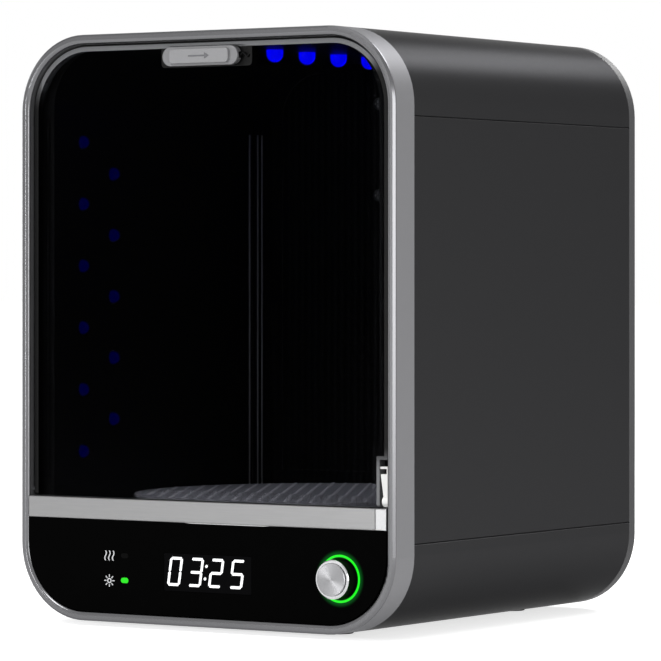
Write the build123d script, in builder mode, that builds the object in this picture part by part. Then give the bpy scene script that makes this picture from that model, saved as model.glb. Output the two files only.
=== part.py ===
"""Dental lab light curing unit: a benchtop box with a flip-down door, a turntable and a warm-air dryer.

Millimetres. +Z is up, -Y is the front with the door, and the origin is under the middle of the feet.
Names ending in _Y are depths from front to back, and names ending in _Z are heights.
"""

from build123d import *
from math import acos, cos, degrees, pi, radians, sin, sqrt, tan
import os

os.makedirs("parts", exist_ok=True)

# ---------------------------------------------------------------- driving dimensions
BODY_WIDTH = 210.0
BODY_DEPTH = 222.0
BODY_HEIGHT = 275.0
CORNER_RADIUS = 36.0
SHELL_WALL = 3.0
FOOT_HEIGHT = 2.5
SEAM_MARGIN = 5.0  # straight wall between a corner curve and the seam beside it
SEAM_BEVEL = 0.4

RING_DEPTH = 16.7
RING_FACE = 4.5  # width of the bezel ring seen from the front
RING_BEVEL = 1.0
RING_ROUND = 2.0  # of the ring's inner front edge

KNOB_PROUD = 7.0  # how far the knob stands out of the bezel ring
FIT_GAP = 0.2  # round a piece that drops into a recess
RUN_GAP = 0.05  # radial clearance of a turning shaft
PRESS_CLEAR = 0.3  # between surfaces that only nearly touch

BASE_Z = FOOT_HEIGHT
TOP_Z = BASE_Z + BODY_HEIGHT
MID_Z = BASE_Z + BODY_HEIGHT / 2
FRONT_Y = -(BODY_DEPTH - KNOB_PROUD) / 2
REAR_Y = FRONT_Y + BODY_DEPTH
HALF_WIDTH = BODY_WIDTH / 2
INNER_HALF = HALF_WIDTH - SHELL_WALL

# front bulkhead
FASCIA_DEPTH = 8.6
FASCIA_THICKNESS = 1.5
FASCIA_Y = FRONT_Y + FASCIA_DEPTH
FASCIA_BACK_Y = FASCIA_Y + FASCIA_THICKNESS
CHASSIS_DEPTH = 12.0
CHASSIS_WALL = 2.0

# silver bar between door and control panel
BAR_HEIGHT = 10.0
BAR_TOP_Z = BASE_Z + 57.8
BAR_RECESS = 0.3
BAR_WALL = 2.0
BAR_END_GAP = 0.2
HINGE_CAP_WIDTH = 5.9
HINGE_CAP_X = HALF_WIDTH - RING_FACE - BAR_END_GAP - HINGE_CAP_WIDTH
HINGE_CAP_DEPTH = 6.7

# curing chamber
SIDE_CAVITY = 10.5  # from the shell's inside to the chamber
CEILING_CAVITY = 3.5
REAR_CAVITY = 27.0
LINER = 1.5
FLOOR_Z = BASE_Z + 54.0
CHAMBER_HALF = INNER_HALF - SIDE_CAVITY
CHAMBER_TOP_Z = TOP_Z - SHELL_WALL - CEILING_CAVITY
CHAMBER_RADIUS = CORNER_RADIUS - 8.5
CHAMBER_REAR_Y = REAR_Y - SHELL_WALL - REAR_CAVITY
CHAMBER_MID_Y = (FASCIA_BACK_Y + CHAMBER_REAR_Y) / 2
SPRING_LINE_Z = CHAMBER_TOP_Z - CHAMBER_RADIUS  # where the flat walls end and the corners start

# door
DOOR_GAP = 1.0
DOOR_SILL_GAP = 0.5
DOOR_RECESS = 3.6
DOOR_DEPTH = 4.7
DOOR_BORDER = 2.2
DOOR_FLANGE = 4.3
GLASS_THICKNESS = 3.0
GLASS_RECESS = 0.4
DOOR_HALF = HALF_WIDTH - RING_FACE - DOOR_GAP
DOOR_TOP_Z = TOP_Z - RING_FACE - DOOR_GAP
DOOR_BOTTOM_Z = BAR_TOP_Z + DOOR_SILL_GAP
DOOR_RADIUS = CORNER_RADIUS - RING_FACE - DOOR_GAP
DOOR_FRONT_Y = FRONT_Y + DOOR_RECESS
DOOR_BACK_Y = DOOR_FRONT_Y + DOOR_DEPTH
GLASS_FRONT_Y = DOOR_FRONT_Y + GLASS_RECESS
GLASS_BACK_Y = GLASS_FRONT_Y + GLASS_THICKNESS
SEAL_EDGE = 1.0  # between a seal strip and the rail's inner edge
SEAL_WIDTH = 2.0
SEAL_DEPTH = 0.7
SEAL_PROUD = 0.1

# door hinge and its soft-opening gear
PIVOT_Y = FRONT_Y + 5.2
PIVOT_Z = DOOR_BOTTOM_Z + 2.5
PIN_RADIUS = 1.0
HUB_RADIUS = 2.4
PIN_REACH = 2.7  # into the bezel ring
PIN_SEAT = 1.8  # into the door frame
CUTOUT_WIDTH = 4.7
CUTOUT_HEIGHT = 21.2
CUTOUT_BORDER = 1.6
GEAR_MODULE = 0.8
PRESSURE_ANGLE = radians(25)
SECTOR_TEETH = 30  # of the full wheel that the sector is cut from
PINION_TEETH = 12
BACKLASH = 0.14
DOOR_TRAVEL = 90.0
MESH_ANGLE = 50.0  # direction from the hinge to the damper pinion, above horizontal
GEAR_X = DOOR_HALF - 2.9
GEAR_WIDTH = 2.6
CENTRE_DISTANCE = GEAR_MODULE * (SECTOR_TEETH + PINION_TEETH) / 2
PINION_Y = PIVOT_Y + CENTRE_DISTANCE * cos(radians(MESH_ANGLE))
PINION_Z = PIVOT_Z + CENTRE_DISTANCE * sin(radians(MESH_ANGLE))
DAMPER_THICKNESS = 3.0
DAMPER_RADIUS = 5.6

# door latch
TAB_HALF = 25.5
TAB_DROP = 11.2  # how far the tab hangs below the door's top edge
TAB_FILLET = 2.0
SLIDER_LENGTH = 42.4
SLIDER_HEIGHT = 9.0
SLIDER_X = -3.1  # middle of the slider at rest
SLIDER_TRAVEL = 6.0
SLIDER_PROUD = 1.2
POCKET_DEPTH = 2.4
GRIP_LENGTH = 33.2
GRIP_HEIGHT = 6.9
GRIP_PROUD = 1.4
HOOK_THICKNESS = 1.6
STRIKE_THICKNESS = 1.2
LATCH_Z = DOOR_TOP_Z - 6.1

# control panel
PANEL_RECESS = 0.5
PANEL_THICKNESS = 2.4
PANEL_RIM = 2.0
PANEL_TOP_Z = BAR_TOP_Z - BAR_HEIGHT - FIT_GAP
PANEL_Y = FRONT_Y + PANEL_RECESS
PANEL_BACK_Y = PANEL_Y + PANEL_THICKNESS
BOARD_Y = FASCIA_BACK_Y + 2.5
BOARD_THICKNESS = 1.6
DISPLAY_X = 2.75
DISPLAY_Z = BASE_Z + 24.8
DISPLAY_WIDTH = 49.0
DISPLAY_HEIGHT = 17.4
INDICATOR_X = -44.5
INDICATOR_Z = (BASE_Z + 19.8, BASE_Z + 31.3)
INDICATOR_LENGTH = 4.2
INDICATOR_HEIGHT = 2.4

# knob
KNOB_X = 75.5 - 105.0 + HALF_WIDTH
KNOB_Z = BASE_Z + 25.5
KNOB_RADIUS = 8.9
KNOB_RIM = 2.0
KNOB_RIM_DEPTH = 1.9
KNOB_REAR = 2.5  # how far the knob's skirt reaches behind the bezel's front
KNOB_GROOVE = 0.3
KNOB_CAP_PROUD = 0.9  # of the cap, in front of the rim
LIGHT_GAP = 0.6  # between the knob and the light ring
LIGHT_WIDTH = 1.4
LIGHT_INNER = KNOB_RADIUS + LIGHT_GAP
LIGHT_OUTER = LIGHT_INNER + LIGHT_WIDTH
SHAFT_RADIUS = 2.0
ROTOR_RADIUS = 3.6
ENCODER_SIZE = 12.0
ENCODER_BODY = 6.5
BUSHING_RADIUS = 4.6

# turntable
DISC_SIDE_GAP = 2.0  # between the turntable and the light walls
DISC_END_GAP = 1.45  # between the turntable and the fascia or the back reflector
DISC_RADIUS = min(CHAMBER_HALF - DISC_SIDE_GAP, (CHAMBER_REAR_Y - FASCIA_BACK_Y) / 2 - DISC_END_GAP)
DISC_Y = CHAMBER_MID_Y
DISC_TOP_Z = FLOOR_Z + 3.5
DISC_THICKNESS = 1.5
DISC_RIM = 1.0
HUB_FLANGE = 11.0
DRIVE_RADIUS = 3.0
MOTOR_RADIUS = 25.0
MOTOR_HEIGHT = 15.0

# lamps
SIDE_LED_RADIUS = 3.0
LED_SIDES = 8  # the side lamps are eight-sided emitters
LED_PROUD = 3.0
CEILING_LED_RADIUS = 4.0
CEILING_LED_PROUD = 5.9
LED_HOLE_GAP = 0.3
LED_COLUMNS = (FRONT_Y + 31.4, FRONT_Y + 55.6)
LED_ROWS = 6  # in the front column; the other sits half a pitch higher and has one less
LED_LOWEST_Z = BASE_Z + 78.0
LED_TOP_SPACE = 43.0  # from the highest side lamp to the chamber's ceiling
LED_PITCH = (CHAMBER_TOP_Z - LED_TOP_SPACE - LED_LOWEST_Z) / (LED_ROWS - 1)
CEILING_LED_COUNT = 6
CEILING_LED_END = 22.325  # from a row's end lamp to the end of the chamber
CEILING_LED_PITCH = (CHAMBER_REAR_Y - FASCIA_BACK_Y - 2 * CEILING_LED_END) / (CEILING_LED_COUNT - 1)

# warm-air dryer behind the chamber
DRYER_Z = TOP_Z - 50.0
FAN_SIZE = 60.0
FAN_DEPTH = 15.0
DUCT_BORE = 27.0
FAN_BORE = 28.5
FAN_HUB = 13.0
FAN_BLADES = 7
DRYER_SCREW_X = 26.0
DRYER_SCREW_Z = 23.0

# fasteners
SCREW_RADIUS = 1.5
SCREW_HEAD = 3.0
SCREW_HEAD_DEPTH = 1.6
REAR_RIM = 8.0
BOSS_RADIUS = 4.5
REAR_PLATE_Y = REAR_Y - SHELL_WALL
RIM_FRONT_Y = REAR_Y - REAR_RIM
TOP_SEAM_Z = TOP_Z - CORNER_RADIUS - SEAM_MARGIN
BOTTOM_SEAM_Z = BASE_Z + CORNER_RADIUS + SEAM_MARGIN
SHELL_FRONT_Y = FRONT_Y + RING_DEPTH


# ---------------------------------------------------------------- planes and small sketch helpers
def front_plane(y):
    """Plane facing the front at depth y: sketch x is +X and sketch y is +Z."""
    return Plane.XZ.offset(-y)


def level_plane(z):
    """Horizontal plane at height z."""
    return Plane.XY.offset(z)


def side_plane(x, y=0.0, z=0.0):
    """Plane facing +X through a point: sketch x is +Y and sketch y is +Z."""
    return Plane(origin=(x, y, z), x_dir=(0, 1, 0), z_dir=(1, 0, 0))


def span(low_x, high_x, low_y, high_y, mode=Mode.ADD):
    """Rectangle between two limits each way, in the sketch being drawn."""
    with Locations(((low_x + high_x) / 2, (low_y + high_y) / 2)):
        Rectangle(high_x - low_x, high_y - low_y, mode=mode)


def body_outline(inset, mode=Mode.ADD):
    """The body's front outline, moved inwards by inset."""
    with Locations((0, MID_Z)):
        RectangleRounded(BODY_WIDTH - 2 * inset, BODY_HEIGHT - 2 * inset, CORNER_RADIUS - inset, mode=mode)


def arch(half, low_z, high_z, radius, mode=Mode.ADD):
    """Outline with a flat bottom and two rounded top corners."""
    with Locations((0, (low_z + high_z) / 2)):
        RectangleRounded(2 * half, high_z - low_z, radius, mode=mode)
    span(-half, half, low_z, low_z + 2 * radius, mode=mode)


def slider_outline(grow=0.0, stretch=0.0, mode=Mode.ADD):
    """Round-ended outline of the latch slider, grown all round and stretched towards +X."""
    with Locations((SLIDER_X + stretch / 2, LATCH_Z)):
        SlotOverall(SLIDER_LENGTH + stretch + 2 * grow, SLIDER_HEIGHT + 2 * grow, mode=mode)


def indicator_outline(grow=0.0, mode=Mode.ADD):
    """Round-ended outline of an indicator's light guide, grown all round."""
    SlotOverall(INDICATOR_LENGTH + 2 * grow, INDICATOR_HEIGHT + 2 * grow, mode=mode)


# ---------------------------------------------------------------- outer shell
with BuildPart() as front_ring:
    with BuildSketch(front_plane(SHELL_FRONT_Y)):
        body_outline(0)
        body_outline(SHELL_WALL, mode=Mode.SUBTRACT)
    extrude(amount=RING_DEPTH)
    with BuildSketch(front_plane(FASCIA_Y)):
        body_outline(SHELL_WALL)
        body_outline(RING_FACE, mode=Mode.SUBTRACT)
    extrude(amount=FASCIA_DEPTH)
    ring_front = front_ring.faces().sort_by(Axis.Y)[0]
    outer_edges = ring_front.outer_wire().edges()
    inner_edges = ring_front.inner_wires()[0].edges()
    chamfer(outer_edges, RING_BEVEL)
    fillet(inner_edges, RING_ROUND)
    # blind bores for the door's hinge pins
    with BuildSketch(side_plane(HALF_WIDTH - RING_FACE + PIN_REACH, PIVOT_Y, PIVOT_Z)):
        Circle(PIN_RADIUS + RUN_GAP)
    extrude(amount=-(2 * (HALF_WIDTH - RING_FACE + PIN_REACH)), mode=Mode.SUBTRACT)

with BuildPart() as shell:
    with BuildSketch(front_plane(RIM_FRONT_Y)):
        body_outline(0)
        body_outline(SHELL_WALL, mode=Mode.SUBTRACT)
    extrude(amount=RIM_FRONT_Y - SHELL_FRONT_Y)

BOSS_DISTANCE = CORNER_RADIUS - SHELL_WALL - BOSS_RADIUS + 0.5
BOSS_X = HALF_WIDTH - CORNER_RADIUS + BOSS_DISTANCE / sqrt(2)
BOSS_TOP_Z = TOP_Z - CORNER_RADIUS + BOSS_DISTANCE / sqrt(2)
BOSS_BOTTOM_Z = BASE_Z + CORNER_RADIUS - BOSS_DISTANCE / sqrt(2)
BOSS_FRONT_Y = CHAMBER_REAR_Y + LINER + 3.0
BOSS_TIP = 0.7  # the boss narrows where it passes inside the rear cover's rim

with BuildPart() as top_cover:
    add(shell.part)
    split(bisect_by=level_plane(TOP_SEAM_Z), keep=Keep.TOP)
    seam_edges = top_cover.edges().filter_by_position(Axis.Z, TOP_SEAM_Z, TOP_SEAM_Z)
    seam_edges = seam_edges.filter_by(Axis.Y)
    chamfer(seam_edges.filter_by(lambda edge: abs(edge.center().X) > HALF_WIDTH - 0.1), SEAM_BEVEL)
    with BuildSketch(front_plane(REAR_PLATE_Y)):
        with Locations((-BOSS_X, BOSS_TOP_Z), (BOSS_X, BOSS_TOP_Z)):
            Circle(BOSS_RADIUS - BOSS_TIP)
    extrude(amount=REAR_PLATE_Y - BOSS_FRONT_Y)
    with BuildSketch(front_plane(RIM_FRONT_Y - FIT_GAP)):
        with Locations((-BOSS_X, BOSS_TOP_Z), (BOSS_X, BOSS_TOP_Z)):
            Circle(BOSS_RADIUS)
    extrude(amount=RIM_FRONT_Y - FIT_GAP - BOSS_FRONT_Y)
    with BuildSketch(front_plane(REAR_PLATE_Y)):
        with Locations((-BOSS_X, BOSS_TOP_Z), (BOSS_X, BOSS_TOP_Z)):
            Circle(SCREW_RADIUS)
    extrude(amount=14.0, mode=Mode.SUBTRACT)

MOTOR_TOP_Z = FLOOR_Z - LINER
FLOOR_POST_RADIUS = 4.0
FLOOR_POST_X = 70.0
FLOOR_POST_Y = (FRONT_Y + 40.0, CHAMBER_REAR_Y - 14.0)
POWER_BOARD_Z = BASE_Z + SHELL_WALL + 7.0
POWER_BOARD_Y = REAR_Y - 62.0
POWER_BOARD_SIZE = (90.0, 56.0)
STANDOFF_RADIUS = 3.0
VENT_COUNT = 9
VENT_PITCH = 8.0
VENT_WIDTH = 3.0
VENT_LENGTH = 30.0

with BuildPart() as bottom_cover:
    add(shell.part)
    split(bisect_by=level_plane(BOTTOM_SEAM_Z), keep=Keep.BOTTOM)
    seam_edges = bottom_cover.edges().filter_by_position(Axis.Z, BOTTOM_SEAM_Z, BOTTOM_SEAM_Z)
    seam_edges = seam_edges.filter_by(Axis.Y)
    chamfer(seam_edges.filter_by(lambda edge: abs(edge.center().X) > HALF_WIDTH - 0.1), SEAM_BEVEL)
    with BuildSketch(front_plane(REAR_PLATE_Y)):
        with Locations((-BOSS_X, BOSS_BOTTOM_Z), (BOSS_X, BOSS_BOTTOM_Z)):
            Circle(BOSS_RADIUS - BOSS_TIP)
    extrude(amount=REAR_PLATE_Y - BOSS_FRONT_Y)
    with BuildSketch(front_plane(RIM_FRONT_Y - FIT_GAP)):
        with Locations((-BOSS_X, BOSS_BOTTOM_Z), (BOSS_X, BOSS_BOTTOM_Z)):
            Circle(BOSS_RADIUS)
    extrude(amount=RIM_FRONT_Y - FIT_GAP - BOSS_FRONT_Y)
    with BuildSketch(front_plane(REAR_PLATE_Y)):
        with Locations((-BOSS_X, BOSS_BOTTOM_Z), (BOSS_X, BOSS_BOTTOM_Z)):
            Circle(SCREW_RADIUS)
    extrude(amount=14.0, mode=Mode.SUBTRACT)
    # posts that carry the chamber floor, and standoffs for the power board
    with BuildSketch(level_plane(BASE_Z + SHELL_WALL)):
        with Locations(*[(x, y) for x in (-FLOOR_POST_X, FLOOR_POST_X) for y in FLOOR_POST_Y]):
            Circle(FLOOR_POST_RADIUS)
    extrude(amount=FLOOR_Z - LINER - BASE_Z - SHELL_WALL)
    with BuildSketch(level_plane(BASE_Z + SHELL_WALL)):
        with Locations((0, POWER_BOARD_Y)):
            with GridLocations(POWER_BOARD_SIZE[0] - 10, POWER_BOARD_SIZE[1] - 10, 2, 2):
                Circle(STANDOFF_RADIUS)
    extrude(amount=POWER_BOARD_Z - BASE_Z - SHELL_WALL)
    # cooling slots under the power board
    with BuildSketch(level_plane(BASE_Z)):
        with Locations((0, POWER_BOARD_Y - POWER_BOARD_SIZE[1] / 2 - 26.0)):
            with GridLocations(VENT_PITCH, 0, VENT_COUNT, 1):
                Rectangle(VENT_WIDTH, VENT_LENGTH)
    extrude(amount=SHELL_WALL, mode=Mode.SUBTRACT)

TONGUE_LENGTH = SEAM_MARGIN - 0.5
TONGUE_THICKNESS = 1.5

with BuildPart() as right_side_panel:
    with BuildSketch(level_plane(BOTTOM_SEAM_Z)):
        span(INNER_HALF, HALF_WIDTH, SHELL_FRONT_Y, RIM_FRONT_Y)
    extrude(amount=TOP_SEAM_Z - BOTTOM_SEAM_Z)
    outer_edges = right_side_panel.faces().sort_by(Axis.X)[-1].edges().filter_by(Axis.Y)
    chamfer(outer_edges, SEAM_BEVEL)
    # the tongue that slips behind the top and bottom covers
    with BuildSketch(level_plane(BOTTOM_SEAM_Z - TONGUE_LENGTH)):
        span(INNER_HALF - TONGUE_THICKNESS, INNER_HALF, SHELL_FRONT_Y + CHASSIS_DEPTH, RIM_FRONT_Y - 20.0)
    extrude(amount=TOP_SEAM_Z - BOTTOM_SEAM_Z + 2 * TONGUE_LENGTH)

with BuildPart() as left_side_panel:
    mirror(right_side_panel.part, about=Plane.YZ, mode=Mode.ADD)

INLET_X = 62.0
INLET_Z = BASE_Z + 24.0
INLET_RADIUS = 5.5
GRILLE_SLOTS = 8
GRILLE_PITCH = 6.0
GRILLE_WIDTH = 3.0
GRILLE_LENGTH = 52.0
LOWER_GRILLE_Z = BASE_Z + 34.0
LOWER_GRILLE_SLOTS = 4
LOWER_GRILLE_LENGTH = 70.0
REAR_CHAMFER = 2.4
HEAD_RECESS = 1.8

with BuildPart() as rear_cover:
    with BuildSketch(front_plane(REAR_Y)):
        body_outline(0)
    extrude(amount=REAR_RIM)
    chamfer(rear_cover.faces().sort_by(Axis.Y)[-1].edges(), REAR_CHAMFER)
    with BuildSketch(front_plane(REAR_PLATE_Y)):
        body_outline(SHELL_WALL)
    extrude(amount=REAR_RIM - SHELL_WALL, mode=Mode.SUBTRACT)
    with BuildSketch(front_plane(REAR_Y)):
        with Locations((0, DRYER_Z)):
            with GridLocations(0, GRILLE_PITCH, 1, GRILLE_SLOTS):
                Rectangle(GRILLE_LENGTH, GRILLE_WIDTH)
        with Locations((0, LOWER_GRILLE_Z)):
            with GridLocations(0, GRILLE_PITCH, 1, LOWER_GRILLE_SLOTS):
                Rectangle(LOWER_GRILLE_LENGTH, GRILLE_WIDTH)
        with Locations((INLET_X, INLET_Z)):
            Circle(INLET_RADIUS + FIT_GAP)
        with Locations(*[(x, z) for x in (-BOSS_X, BOSS_X) for z in (BOSS_TOP_Z, BOSS_BOTTOM_Z)]):
            Circle(SCREW_RADIUS + FIT_GAP)
    extrude(amount=REAR_RIM, mode=Mode.SUBTRACT)
    with BuildSketch(front_plane(REAR_Y)):
        with Locations(*[(x, z) for x in (-BOSS_X, BOSS_X) for z in (BOSS_TOP_Z, BOSS_BOTTOM_Z)]):
            Circle(SCREW_HEAD + FIT_GAP)
    extrude(amount=HEAD_RECESS, mode=Mode.SUBTRACT)

with BuildPart() as rear_cover_screws:
    with BuildSketch(front_plane(REAR_Y - HEAD_RECESS + SCREW_HEAD_DEPTH)):
        with Locations(*[(x, z) for x in (-BOSS_X, BOSS_X) for z in (BOSS_TOP_Z, BOSS_BOTTOM_Z)]):
            Circle(SCREW_HEAD)
    extrude(amount=SCREW_HEAD_DEPTH)
    with BuildSketch(front_plane(REAR_Y - HEAD_RECESS)):
        with Locations(*[(x, z) for x in (-BOSS_X, BOSS_X) for z in (BOSS_TOP_Z, BOSS_BOTTOM_Z)]):
            Circle(SCREW_RADIUS)
    extrude(amount=12.0)

FOOT_RADIUS = 8.0
FOOT_X = 52.0
FOOT_INSET_Y = 34.0

with BuildPart() as rubber_feet:
    with BuildSketch(level_plane(BASE_Z)):
        with Locations((0, (FRONT_Y + REAR_Y) / 2)):
            with GridLocations(2 * FOOT_X, BODY_DEPTH - 2 * FOOT_INSET_Y, 2, 2):
                Circle(FOOT_RADIUS)
    extrude(amount=-FOOT_HEIGHT, taper=8)

# ---------------------------------------------------------------- front frame
with BuildPart() as front_chassis:
    with BuildSketch(front_plane(FASCIA_BACK_Y + CHASSIS_DEPTH)):
        body_outline(SHELL_WALL + RUN_GAP)
        body_outline(SHELL_WALL + CHASSIS_WALL, mode=Mode.SUBTRACT)
    extrude(amount=CHASSIS_DEPTH)

SECTOR_WINDOW = (GEAR_X - 0.4, GEAR_X + GEAR_WIDTH + 0.6)
SECTOR_WINDOW_Z = (PIVOT_Z - 11.3, PIVOT_Z + 21.0)
SWITCH_X = INNER_HALF - 4.8
SWITCH_Z = TOP_Z - 43.0
BOARD_LOW_X = -64.0
BOARD_HIGH_X = KNOB_X + 17.0
BOARD_LOW_Z = BASE_Z + 8.0
BOARD_HIGH_Z = BASE_Z + 46.0
BOARD_SUPPORTS = [(x, z) for x in (BOARD_LOW_X + 5, KNOB_X - 18) for z in (BOARD_LOW_Z + 4, BOARD_HIGH_Z - 4)]

with BuildPart() as front_fascia:
    with BuildSketch(front_plane(FASCIA_BACK_Y)):
        body_outline(SHELL_WALL)
        arch(CHAMBER_HALF, BAR_TOP_Z, CHAMBER_TOP_Z, CHAMBER_RADIUS, mode=Mode.SUBTRACT)
        span(*SECTOR_WINDOW, *SECTOR_WINDOW_Z, mode=Mode.SUBTRACT)
        with Locations((DISPLAY_X, DISPLAY_Z)):
            Rectangle(DISPLAY_WIDTH + 2, DISPLAY_HEIGHT + 2, mode=Mode.SUBTRACT)
        with Locations((KNOB_X, KNOB_Z)):
            Circle(LIGHT_OUTER + 1, mode=Mode.SUBTRACT)
        with Locations(*[(INDICATOR_X, z) for z in INDICATOR_Z]):
            indicator_outline(grow=0.5, mode=Mode.SUBTRACT)
        with Locations((SWITCH_X, SWITCH_Z)):
            Circle(1.5, mode=Mode.SUBTRACT)
    extrude(amount=FASCIA_THICKNESS)
    with BuildSketch(front_plane(BOARD_Y)):
        with Locations(*BOARD_SUPPORTS):
            Circle(STANDOFF_RADIUS)
    extrude(amount=BOARD_Y - FASCIA_BACK_Y)

with BuildPart() as crossbar:
    with BuildSketch(side_plane(HINGE_CAP_X)):
        span(FRONT_Y + BAR_RECESS, FASCIA_Y, BAR_TOP_Z - BAR_HEIGHT, BAR_TOP_Z)
        span(FRONT_Y + BAR_RECESS + BAR_WALL, FASCIA_Y, BAR_TOP_Z - BAR_HEIGHT + BAR_WALL,
             BAR_TOP_Z - BAR_WALL, mode=Mode.SUBTRACT)
    extrude(amount=-(HINGE_CAP_X + HALF_WIDTH - RING_FACE - BAR_END_GAP))
    bar_front = crossbar.faces().sort_by(Axis.Y)[0]
    fillet(bar_front.edges().filter_by(Axis.X), 0.6)

with BuildPart() as hinge_end_cap:
    with BuildSketch(side_plane(HINGE_CAP_X)):
        span(FRONT_Y + BAR_RECESS, FRONT_Y + BAR_RECESS + HINGE_CAP_DEPTH, BAR_TOP_Z - BAR_HEIGHT, BAR_TOP_Z)
    extrude(amount=HINGE_CAP_WIDTH)
    fillet(hinge_end_cap.faces().sort_by(Axis.Y)[0].edges(), 0.6)

# ---------------------------------------------------------------- control panel
with BuildPart() as control_panel:
    with BuildSketch(front_plane(FASCIA_Y)):
        body_outline(RING_FACE + FIT_GAP)
        span(-HALF_WIDTH, HALF_WIDTH, PANEL_TOP_Z, TOP_Z, mode=Mode.SUBTRACT)
    extrude(amount=FASCIA_Y - PANEL_Y)
    with BuildSketch(front_plane(FASCIA_Y)):
        body_outline(RING_FACE + FIT_GAP + PANEL_RIM)
        span(-HALF_WIDTH, HALF_WIDTH, PANEL_TOP_Z - PANEL_RIM, TOP_Z, mode=Mode.SUBTRACT)
    extrude(amount=FASCIA_Y - PANEL_BACK_Y, mode=Mode.SUBTRACT)
    # recess and opening of the display
    with BuildSketch(front_plane(PANEL_Y + 1.0)):
        with Locations((DISPLAY_X, DISPLAY_Z)):
            Rectangle(DISPLAY_WIDTH + 2 * FIT_GAP, DISPLAY_HEIGHT + 2 * FIT_GAP)
    extrude(amount=1.0, mode=Mode.SUBTRACT)
    with BuildSketch(front_plane(PANEL_BACK_Y)):
        with Locations((DISPLAY_X, DISPLAY_Z)):
            Rectangle(DISPLAY_WIDTH - 3, DISPLAY_HEIGHT - 3)
        with Locations((KNOB_X, KNOB_Z)):
            Circle(LIGHT_OUTER + 0.1)
        with Locations(*[(INDICATOR_X, z) for z in INDICATOR_Z]):
            indicator_outline(grow=0.1)
    extrude(amount=PANEL_THICKNESS, mode=Mode.SUBTRACT)

with BuildPart() as display_window:
    with BuildSketch(front_plane(PANEL_Y + 1.0)):
        with Locations((DISPLAY_X, DISPLAY_Z)):
            Rectangle(DISPLAY_WIDTH, DISPLAY_HEIGHT)
    extrude(amount=1.0)

with BuildPart() as display_module:
    with BuildSketch(front_plane(BOARD_Y)):
        with Locations((DISPLAY_X, DISPLAY_Z)):
            Rectangle(DISPLAY_WIDTH, DISPLAY_HEIGHT)
    extrude(amount=BOARD_Y - PANEL_BACK_Y)

with BuildPart() as indicator_light_pipes:
    with BuildSketch(front_plane(BOARD_Y)):
        with Locations(*[(INDICATOR_X, z) for z in INDICATOR_Z]):
            indicator_outline()
    extrude(amount=BOARD_Y - PANEL_Y)

with BuildPart() as knob_light_ring:
    with BuildSketch(front_plane(BOARD_Y)):
        with Locations((KNOB_X, KNOB_Z)):
            Circle(LIGHT_OUTER)
            Circle(LIGHT_INNER, mode=Mode.SUBTRACT)
    extrude(amount=BOARD_Y - PANEL_Y)

with BuildPart() as control_board:
    with BuildSketch(front_plane(BOARD_Y + BOARD_THICKNESS)):
        body_outline(SHELL_WALL + CHASSIS_WALL + 1)
        span(BOARD_LOW_X, BOARD_HIGH_X, BOARD_LOW_Z, BOARD_HIGH_Z, mode=Mode.INTERSECT)
    extrude(amount=BOARD_THICKNESS)
    # processor, relay and the lamp connectors on the rear of the board
    with BuildSketch(front_plane(BOARD_Y + BOARD_THICKNESS + 2.0)):
        with Locations((-20, BASE_Z + 26)):
            Rectangle(12, 12)
    extrude(amount=2.0)
    with BuildSketch(front_plane(BOARD_Y + BOARD_THICKNESS + 10.0)):
        with Locations((20, BASE_Z + 28)):
            Rectangle(19, 15)
        with Locations((-48, BASE_Z + 38), (-32, BASE_Z + 38)):
            Rectangle(12, 6)
    extrude(amount=10.0)

# ---------------------------------------------------------------- push-and-turn knob
BUSHING_FRONT_Y = FRONT_Y + KNOB_REAR + 1.3
ROTOR_FRONT_Y = BUSHING_FRONT_Y + 0.2
ROTOR_BACK_Y = BOARD_Y - 0.7
PUSH_TRAVEL = 0.7
SHAFT_BACK_Y = ROTOR_BACK_Y - PUSH_TRAVEL
KNOB_FRONT_Y = FRONT_Y - KNOB_PROUD
KNOB_BACK_Y = FRONT_Y + KNOB_REAR
FLAT_DEPTH = 0.8

with BuildPart() as encoder_body:
    with BuildSketch(front_plane(BOARD_Y)):
        with Locations((KNOB_X, KNOB_Z)):
            Rectangle(ENCODER_SIZE, ENCODER_SIZE)
    extrude(amount=ENCODER_BODY)
    with BuildSketch(front_plane(BOARD_Y)):
        with Locations((KNOB_X, KNOB_Z)):
            Circle(BUSHING_RADIUS)
    extrude(amount=BOARD_Y - BUSHING_FRONT_Y)
    with BuildSketch(front_plane(ROTOR_BACK_Y + FIT_GAP)):
        with Locations((KNOB_X, KNOB_Z)):
            Circle(ROTOR_RADIUS + RUN_GAP)
    extrude(amount=ROTOR_BACK_Y + FIT_GAP - BUSHING_FRONT_Y, mode=Mode.SUBTRACT)

with BuildPart() as encoder_rotor:
    with BuildSketch(front_plane(ROTOR_BACK_Y)):
        with Locations((KNOB_X, KNOB_Z)):
            Circle(ROTOR_RADIUS)
            Circle(SHAFT_RADIUS + RUN_GAP, mode=Mode.SUBTRACT)
        # the flat that makes the sleeve turn with the knob's shaft
        flat_low_z = KNOB_Z + SHAFT_RADIUS - FLAT_DEPTH + RUN_GAP
        span(KNOB_X - SHAFT_RADIUS, KNOB_X + SHAFT_RADIUS, flat_low_z, KNOB_Z + SHAFT_RADIUS + 0.4)
    extrude(amount=ROTOR_BACK_Y - ROTOR_FRONT_Y)

with BuildPart() as knob_shaft:
    with BuildSketch(front_plane(SHAFT_BACK_Y)):
        with Locations((KNOB_X, KNOB_Z)):
            Circle(SHAFT_RADIUS)
        flat_low_z = KNOB_Z + SHAFT_RADIUS - FLAT_DEPTH
        span(KNOB_X - SHAFT_RADIUS, KNOB_X + SHAFT_RADIUS, flat_low_z, KNOB_Z + SHAFT_RADIUS,
             mode=Mode.SUBTRACT)
    extrude(amount=SHAFT_BACK_Y - FRONT_Y + KNOB_PROUD - 2 * KNOB_RIM_DEPTH)

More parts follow.
